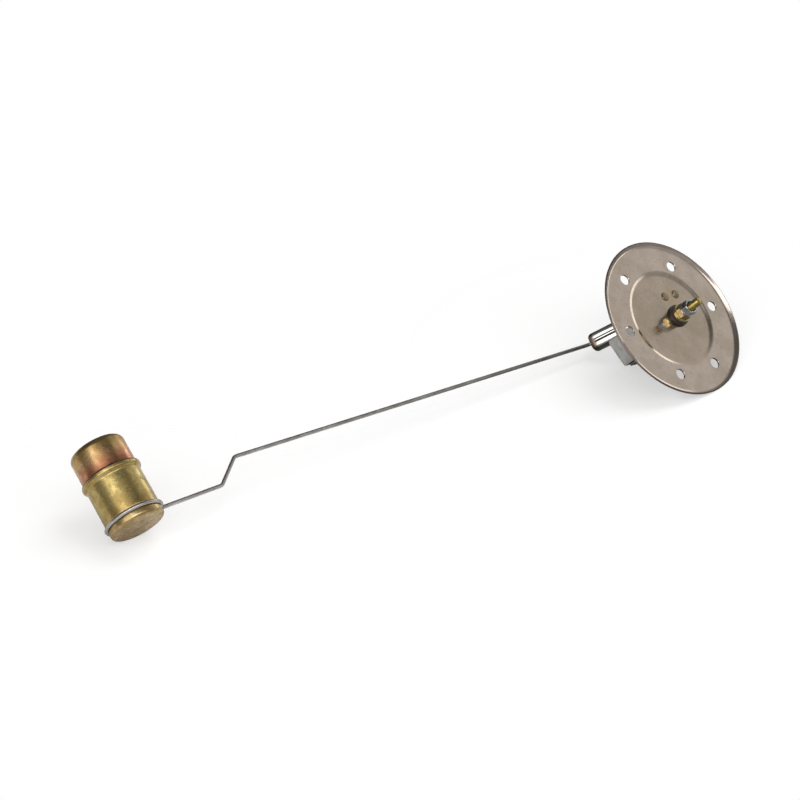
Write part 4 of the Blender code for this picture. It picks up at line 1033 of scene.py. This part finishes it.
def corner_points(radius, corner, end, toward):
    """Quarter arc from a cup's end onto its wall."""
    steps = 10
    points = []
    for i in range(steps + 1):
        angle = pi / 2 * (1 - i / steps)
        height = end + toward * corner * (sin(angle) - 1.0)
        points.append((radius - corner + corner * cos(angle), height))
    return points


def shell_section(outside, toward):
    """Closed section of a drawn cup from its outer face, set in by its wall."""
    inside = []
    for i, (r, z) in enumerate(outside):
        before = outside[max(i - 1, 0)]
        after = outside[min(i + 1, len(outside) - 1)]
        run, rise = after[0] - before[0], after[1] - before[1]
        size = hypot(run, rise)
        radius = max(r + toward * rise / size * CUP_WALL, 0.0)
        inside.append((radius, z - toward * run / size * CUP_WALL))
    return outside + inside[::-1]


def dent(mesh, scale):
    """Shallow waviness of thin hand-soldered sheet, away from the float's axis."""
    depth = 0.00006
    still_radius = 0.004
    for vertex in mesh.vertices:
        place = vertex.co - LOOP_CENTRE
        out = place - FLOAT_AXIS * place.dot(FLOAT_AXIS)
        if out.length < still_radius:
            continue
        push = noise.noise(vertex.co * scale) * depth - depth * 0.6
        vertex.co += out.normalized() * push


def make_float(finish):
    low_end = LOOP_FROM_END
    high_end = LOOP_FROM_END - FLOAT_LENGTH
    mouth_edge = high_end + UPPER_EXPOSED
    mouth_foot = mouth_edge + MOUTH_LENGTH
    end_middle = 0.005
    upper = [(0.0, high_end), (end_middle, high_end)]
    upper += corner_points(UPPER_RADIUS, 0.0034, high_end, -1)
    upper += [
        (UPPER_RADIUS, high_end + 0.008),
        (UPPER_RADIUS, mouth_edge),
        (UPPER_RADIUS, mouth_foot - 0.0003),
    ]
    section = shell_section(upper, -1)
    mesh = lathe_mesh("upper_float_cup", section, FLOAT_FRAME, 144)
    dent(mesh, 120.0)
    smooth(mesh, 40.0)
    new_piece(
        "upper_float_cup", mesh, finish["upper_cup"], ARM, "heat_stained_brass", "float_upper_cup"
    )
    groove = 0.0010
    half = 0.0014
    lower = [(0.0, low_end), (end_middle, low_end)]
    lower += corner_points(LOWER_RADIUS, 0.0018, low_end, 1)
    lower.append((LOWER_RADIUS, half + 0.0004))
    groove_steps = 10
    for i in range(groove_steps + 1):
        share = i / groove_steps
        sink = groove * (0.5 - 0.5 * cos(2 * pi * share))
        lower.append((LOWER_RADIUS - sink, half * (1 - 2 * share)))
    lower += [
        (LOWER_RADIUS, -half - 0.0004),
        (LOWER_RADIUS, -0.012),
        (LOWER_RADIUS, mouth_foot + 0.0014),
    ]
    bead_steps = 12
    bead_low = mouth_foot + 0.0009
    for i in range(bead_steps + 1):
        share = i / bead_steps
        swell = (MOUTH_RADIUS - LOWER_RADIUS) * sin(pi / 2 * min(share * 1.6, 1.0)) ** 1.5
        lower.append((LOWER_RADIUS + swell, bead_low + (mouth_edge - bead_low) * share))
    section = shell_section(lower, 1)
    mesh = lathe_mesh("lower_float_cup", section, FLOAT_FRAME, 144)
    dent(mesh, 110.0)
    smooth(mesh, 40.0)
    new_piece("lower_float_cup", mesh, finish["lower_cup"], ARM, "float_brass", "float_lower_cup")


# Washers: name, outer and bore radius, low and high face, look, slot, node
STACK = [
    ("fibre_disc", 0.0049, 0.0026, 0.00185, 0.0029, "fibre", "red_fibre", "fibre_washer"),
    ("brass_disc", 0.0051, 0.0026, 0.00293, 0.0042, "green_brass", "brass", "brass_washer"),
    ("zinc_disc", 0.0042, 0.0026, 0.00740, 0.0082, "blue_zinc", "zinc_plating", "plain_washer"),
]

# Nuts: name, width across flats, low and high face, turn, look, slot, node
NUTS = [
    ("brass_hex_nut", 0.0080, 0.00423, 0.00737, 8.0, "brass", "brass", "lower_nut"),
    ("zinc_hex_nut", 0.0075, 0.00823, 0.0121, 24.0, "blue_zinc", "zinc_plating", "terminal_nut"),
]

# Solids drawn from the part with softened edges: node, name, look, body, slot, edge
REFINED = [
    ("cover_screw_front", "front_cover_screw", "blue_zinc", BODY, "zinc_plating", 0.00008),
    ("cover_screw_rear", "rear_cover_screw", "blue_zinc", BODY, "zinc_plating", 0.00008),
    ("inner_insulating_washer", "inner_fibre_disc", "fibre", BODY, "red_fibre", 0.00006),
    ("spindle_bush", "bearing_bush", "brass", BODY, "brass", 0.00006),
    ("arm_lever", "channel_lever", "lever", ARM, "bright_plating", 0.00010),
    ("arm_clamp", "wire_clamp", "brass", ARM, "brass", 0.00010),
    ("clamp_screw", "wire_clamp_screw", "blue_zinc", ARM, "zinc_plating", 0.00006),
    ("spindle", "hinge_spindle", "wire", ARM, "steel_wire", 0.00008),
    ("spindle_clip", "hinge_clip", "blue_zinc", ARM, "zinc_plating", 0.00005),
    ("wiper_hub", "round_wiper_hub", "brass", ARM, "brass", 0.00008),
    ("wiper_arm", "spring_wiper_arm", "brass", ARM, "brass", 0.0),
    ("wiper_contact", "round_wiper_contact", "plated", ARM, "bright_plating", 0.00006),
    ("solder_seam", "solder_fillet", "solder", ARM, "solder", 0.0),
]

# Hidden solids that are shown as they are, with their looks
KEPT = {
    "resistor_card": "black",
    "resistance_winding": "alloy_wire",
    "card_screw_upper": "blue_zinc",
    "card_screw_lower": "blue_zinc",
    "card_eyelet": "brass",
    "contact_strip": "brass",
}


def make_pieces(finish):
    make_flange(finish)
    make_stud(finish)
    make_rivets(finish)
    make_bush(finish)
    for name, outer, bore, low, high, look, slot, node in STACK:
        washer(name, outer, bore, low, high, finish[look], slot, node)
    for name, flats, low, high, turn, look, slot, node in NUTS:
        hex_nut(name, flats, low, high, radians(turn), finish[look], slot, node)
    make_wire(finish)
    make_float(finish)
    make_housing(finish)
    for node, name, look, body, slot, edge in REFINED:
        refine(node, name, finish[look], body, slot, edge)
    for node, look in KEPT.items():
        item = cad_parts[node]
        item.data.materials.clear()
        item.data.materials.append(finish[look])


# Studio

def axes_matrix(x_axis, y_axis, z_axis, place):
    """Matrix with these axes as its columns, at a place."""
    matrix = Matrix((x_axis, y_axis, z_axis)).transposed().to_4x4()
    matrix.translation = place
    return matrix


def studio_matrix():
    """Axes of the studio: X to the camera's right, Y away from it, Z square to the floor."""
    right = CAMERA_FORWARD.cross(CAMERA_UP).normalized()
    right = (right - FLOOR_NORMAL * right.dot(FLOOR_NORMAL)).normalized()
    away = FLOOR_NORMAL.cross(right)
    return axes_matrix(right, away, FLOOR_NORMAL, -FLOOR_NORMAL * FLOOR_DROP)


def near_object(tree, place, studio):
    """1 on the floor where shadows fall: round the plate, the float and the wire."""
    start = studio.translation
    foot = LOOP_CENTRE - FLOOR_NORMAL * (FLOOR_NORMAL.dot(LOOP_CENTRE) + FLOOR_DROP)
    run = foot - start
    offset = vector_maths(tree, "SUBTRACT", place, start)
    share = vector_maths(tree, "DOT_PRODUCT", offset, run / run.length_squared)
    share = maths(tree, "MULTIPLY", share, 1.0, clamp=True)
    nearest = vector_maths(tree, "MULTIPLY", share, run)
    wire = fade(tree, vector_maths(tree, "DISTANCE", offset, nearest), *WIRE_SHADOW_END)
    plate = fade(tree, vector_maths(tree, "LENGTH", offset), *PLATE_SHADOW_END)
    end = fade(tree, vector_maths(tree, "DISTANCE", offset, run), *FLOAT_SHADOW_END)
    return maths(tree, "MAXIMUM", maths(tree, "MAXIMUM", wire, plate), end)


def make_floor(studio):
    """Pale floor that keeps the shadows. The camera also sees the white room through it
    and, faintly, the arm where it swings down past the floor."""
    material = bpy.data.materials.new("pale_floor")
    material.use_nodes = True
    tree = material.node_tree
    tree.nodes.clear()
    matte = add_node(tree, "ShaderNodeBsdfDiffuse")
    path = add_node(tree, "ShaderNodeLightPath")
    place = object_place(tree)
    turn = studio.to_3x3()
    across = vector_maths(tree, "DOT_PRODUCT", place, turn.col[0])
    # In reflections only, the floor has painted shade toward the plate and painted light toward
    # the float
    painted_shade_share = map_range(tree, across, *PAINTED_REFLECTION_CHANGE)
    mirrored = mix_colour(tree, painted_shade_share, FLOOR_PAINTED_LIGHT_REFLECTED, FLOOR_PAINTED_SHADE_REFLECTED)
    tone = mix_colour(tree, path.outputs["Is Glossy Ray"], FLOOR_TONE, mirrored)
    link(tree, tone, matte.inputs["Color"])
    away = vector_maths(tree, "DOT_PRODUCT", place, turn.col[1])
    share = map_range(tree, away, *WINDOW_CHANGE, *WINDOW_SHARE)
    seen = path.outputs["Is Camera Ray"]
    window = add_node(tree, "ShaderNodeBsdfTransparent")
    link(tree, maths(tree, "MULTIPLY", seen, share), window.inputs["Color"])
    lit = add_node(tree, "ShaderNodeAddShader")
    link(tree, matte.outputs[0], lit.inputs[0])
    link(tree, window.outputs[0], lit.inputs[1])
    clear = add_node(tree, "ShaderNodeBsdfTransparent")
    side = add_node(tree, "ShaderNodeNewGeometry")
    choose = add_node(tree, "ShaderNodeMixShader")
    open_floor = maths(tree, "SUBTRACT", 1.0, near_object(tree, place, studio))
    open_floor = maths(tree, "MULTIPLY", open_floor, seen)
    open_floor = maths(tree, "MAXIMUM", open_floor, side.outputs["Backfacing"])
    link(tree, open_floor, choose.inputs["Fac"])
    link(tree, lit.outputs[0], choose.inputs[1])
    link(tree, clear.outputs[0], choose.inputs[2])
    out = add_node(tree, "ShaderNodeOutputMaterial")
    link(tree, choose.outputs[0], out.inputs["Surface"])
    mesh = bpy.data.meshes.new("studio_floor")
    size = 4.0
    corners = [(-size, -size), (size, -size), (size, size), (-size, size)]
    mesh.from_pydata([studio @ Vector((x, y, 0.0)) for x, y in corners], [], [(0, 1, 2, 3)])
    mesh.materials.append(material)
    floor = add_object("studio_floor", mesh)


def make_world(studio):
    """Dim room, darkest at the left and behind. At the right and behind it has a pale
    wall and, low down, a bright strip with a taller part. The camera sees white."""
    world = bpy.data.worlds.new("studio_room")
    bpy.context.scene.world = world
    world.use_nodes = True
    tree = world.node_tree
    tree.nodes.clear()
    look = add_node(tree, "ShaderNodeTexCoord").outputs["Generated"]
    turn = studio.to_3x3()
    right = vector_maths(tree, "DOT_PRODUCT", look, turn.col[0])
    away = vector_maths(tree, "DOT_PRODUCT", look, turn.col[1])
    up = vector_maths(tree, "DOT_PRODUCT", look, turn.col[2])
    near = fade(tree, away, *FRONT_AWAY)
    front = maths(tree, "MAXIMUM", near, map_range(tree, right, *FRONT_RIGHT))
    wall = overlap(
        tree, map_range(tree, right, *WALL_RIGHT), map_range(tree, away, *WALL_AWAY),
        fade(tree, up, *WALL_UP),
    )
    low = overlap(
        tree, fade(tree, up, *LOW_UP), map_range(tree, away, *LOW_AWAY),
        map_range(tree, right, *LOW_RIGHT),
    )
    tall = overlap(
        tree, fade(tree, up, *TALL_UP), map_range(tree, away, *TALL_AWAY),
        map_range(tree, right, *TALL_RIGHT),
    )
    shade = mix_colour(tree, front, ROOM_BACK, ROOM_FRONT)
    shade = mix_colour(tree, wall, shade, ROOM_WALL)
    shade = mix_colour(tree, maths(tree, "MAXIMUM", low, tall), shade, ROOM_STRIP)
    seen = add_node(tree, "ShaderNodeLightPath").outputs["Is Camera Ray"]
    white = mix_colour(tree, seen, shade, WHITE)
    back = add_node(tree, "ShaderNodeBackground")
    link(tree, white, back.inputs["Color"])
    back.inputs["Strength"].default_value = 1.0
    out = add_node(tree, "ShaderNodeOutputWorld")
    link(tree, back.outputs[0], out.inputs["Surface"])


def soft_light(studio, name, place, toward, width, height, power, mirrored):
    """Rectangular lamp, level with the floor along its width, aimed at a point."""
    lamp = bpy.data.lights.new(name, "AREA")
    lamp.shape = "RECTANGLE"
    lamp.size = width
    lamp.size_y = height
    lamp.energy = power
    item = add_object(name, lamp)
    start = studio @ Vector(place)
    aim = studio @ Vector(toward) - start
    back = -aim.normalized()
    level = studio.to_3x3().col[2].cross(back).normalized()
    item.matrix_world = axes_matrix(level, back.cross(level), back, start)
    item.visible_camera = False
    item.visible_glossy = mirrored


def make_camera():
    lens = bpy.data.cameras.new("photo_camera")
    lens.sensor_fit = "HORIZONTAL"
    lens.sensor_width = 36.0
    lens.lens = CAMERA_LENS
    lens.clip_start = 0.05
    lens.clip_end = 20.0
    camera = add_object("photo_camera", lens)
    right = CAMERA_FORWARD.cross(CAMERA_UP).normalized()
    up = right.cross(CAMERA_FORWARD).normalized()
    camera.matrix_world = axes_matrix(right, up, -CAMERA_FORWARD.normalized(), CAMERA_PLACE)
    bpy.context.scene.camera = camera


# Lamps in the studio's axes: name, place, aim, width, height, power, seen in reflections
SOFT_BOXES = [
    ("front_high_box", (0.30, -0.74, 1.02), (0.0, 0.0, 0.02), 1.45, 0.60, 4.6, True),
    ("front_left_box", (-0.50, -1.00, 0.74), (0.0, 0.0, 0.02), 1.10, 0.95, 5.6, True),
    ("overhead_box", (0.55, 0.45, 1.90), (0.0, 0.0, 0.0), 1.45, 1.45, 18.0, False),
]


def make_studio():
    studio = studio_matrix()
    make_floor(studio)
    make_world(studio)
    for box in SOFT_BOXES:
        soft_light(studio, *box)
    make_camera()
    bpy.context.scene.view_settings.view_transform = "Standard"


make_pieces(make_finishes())
make_studio()
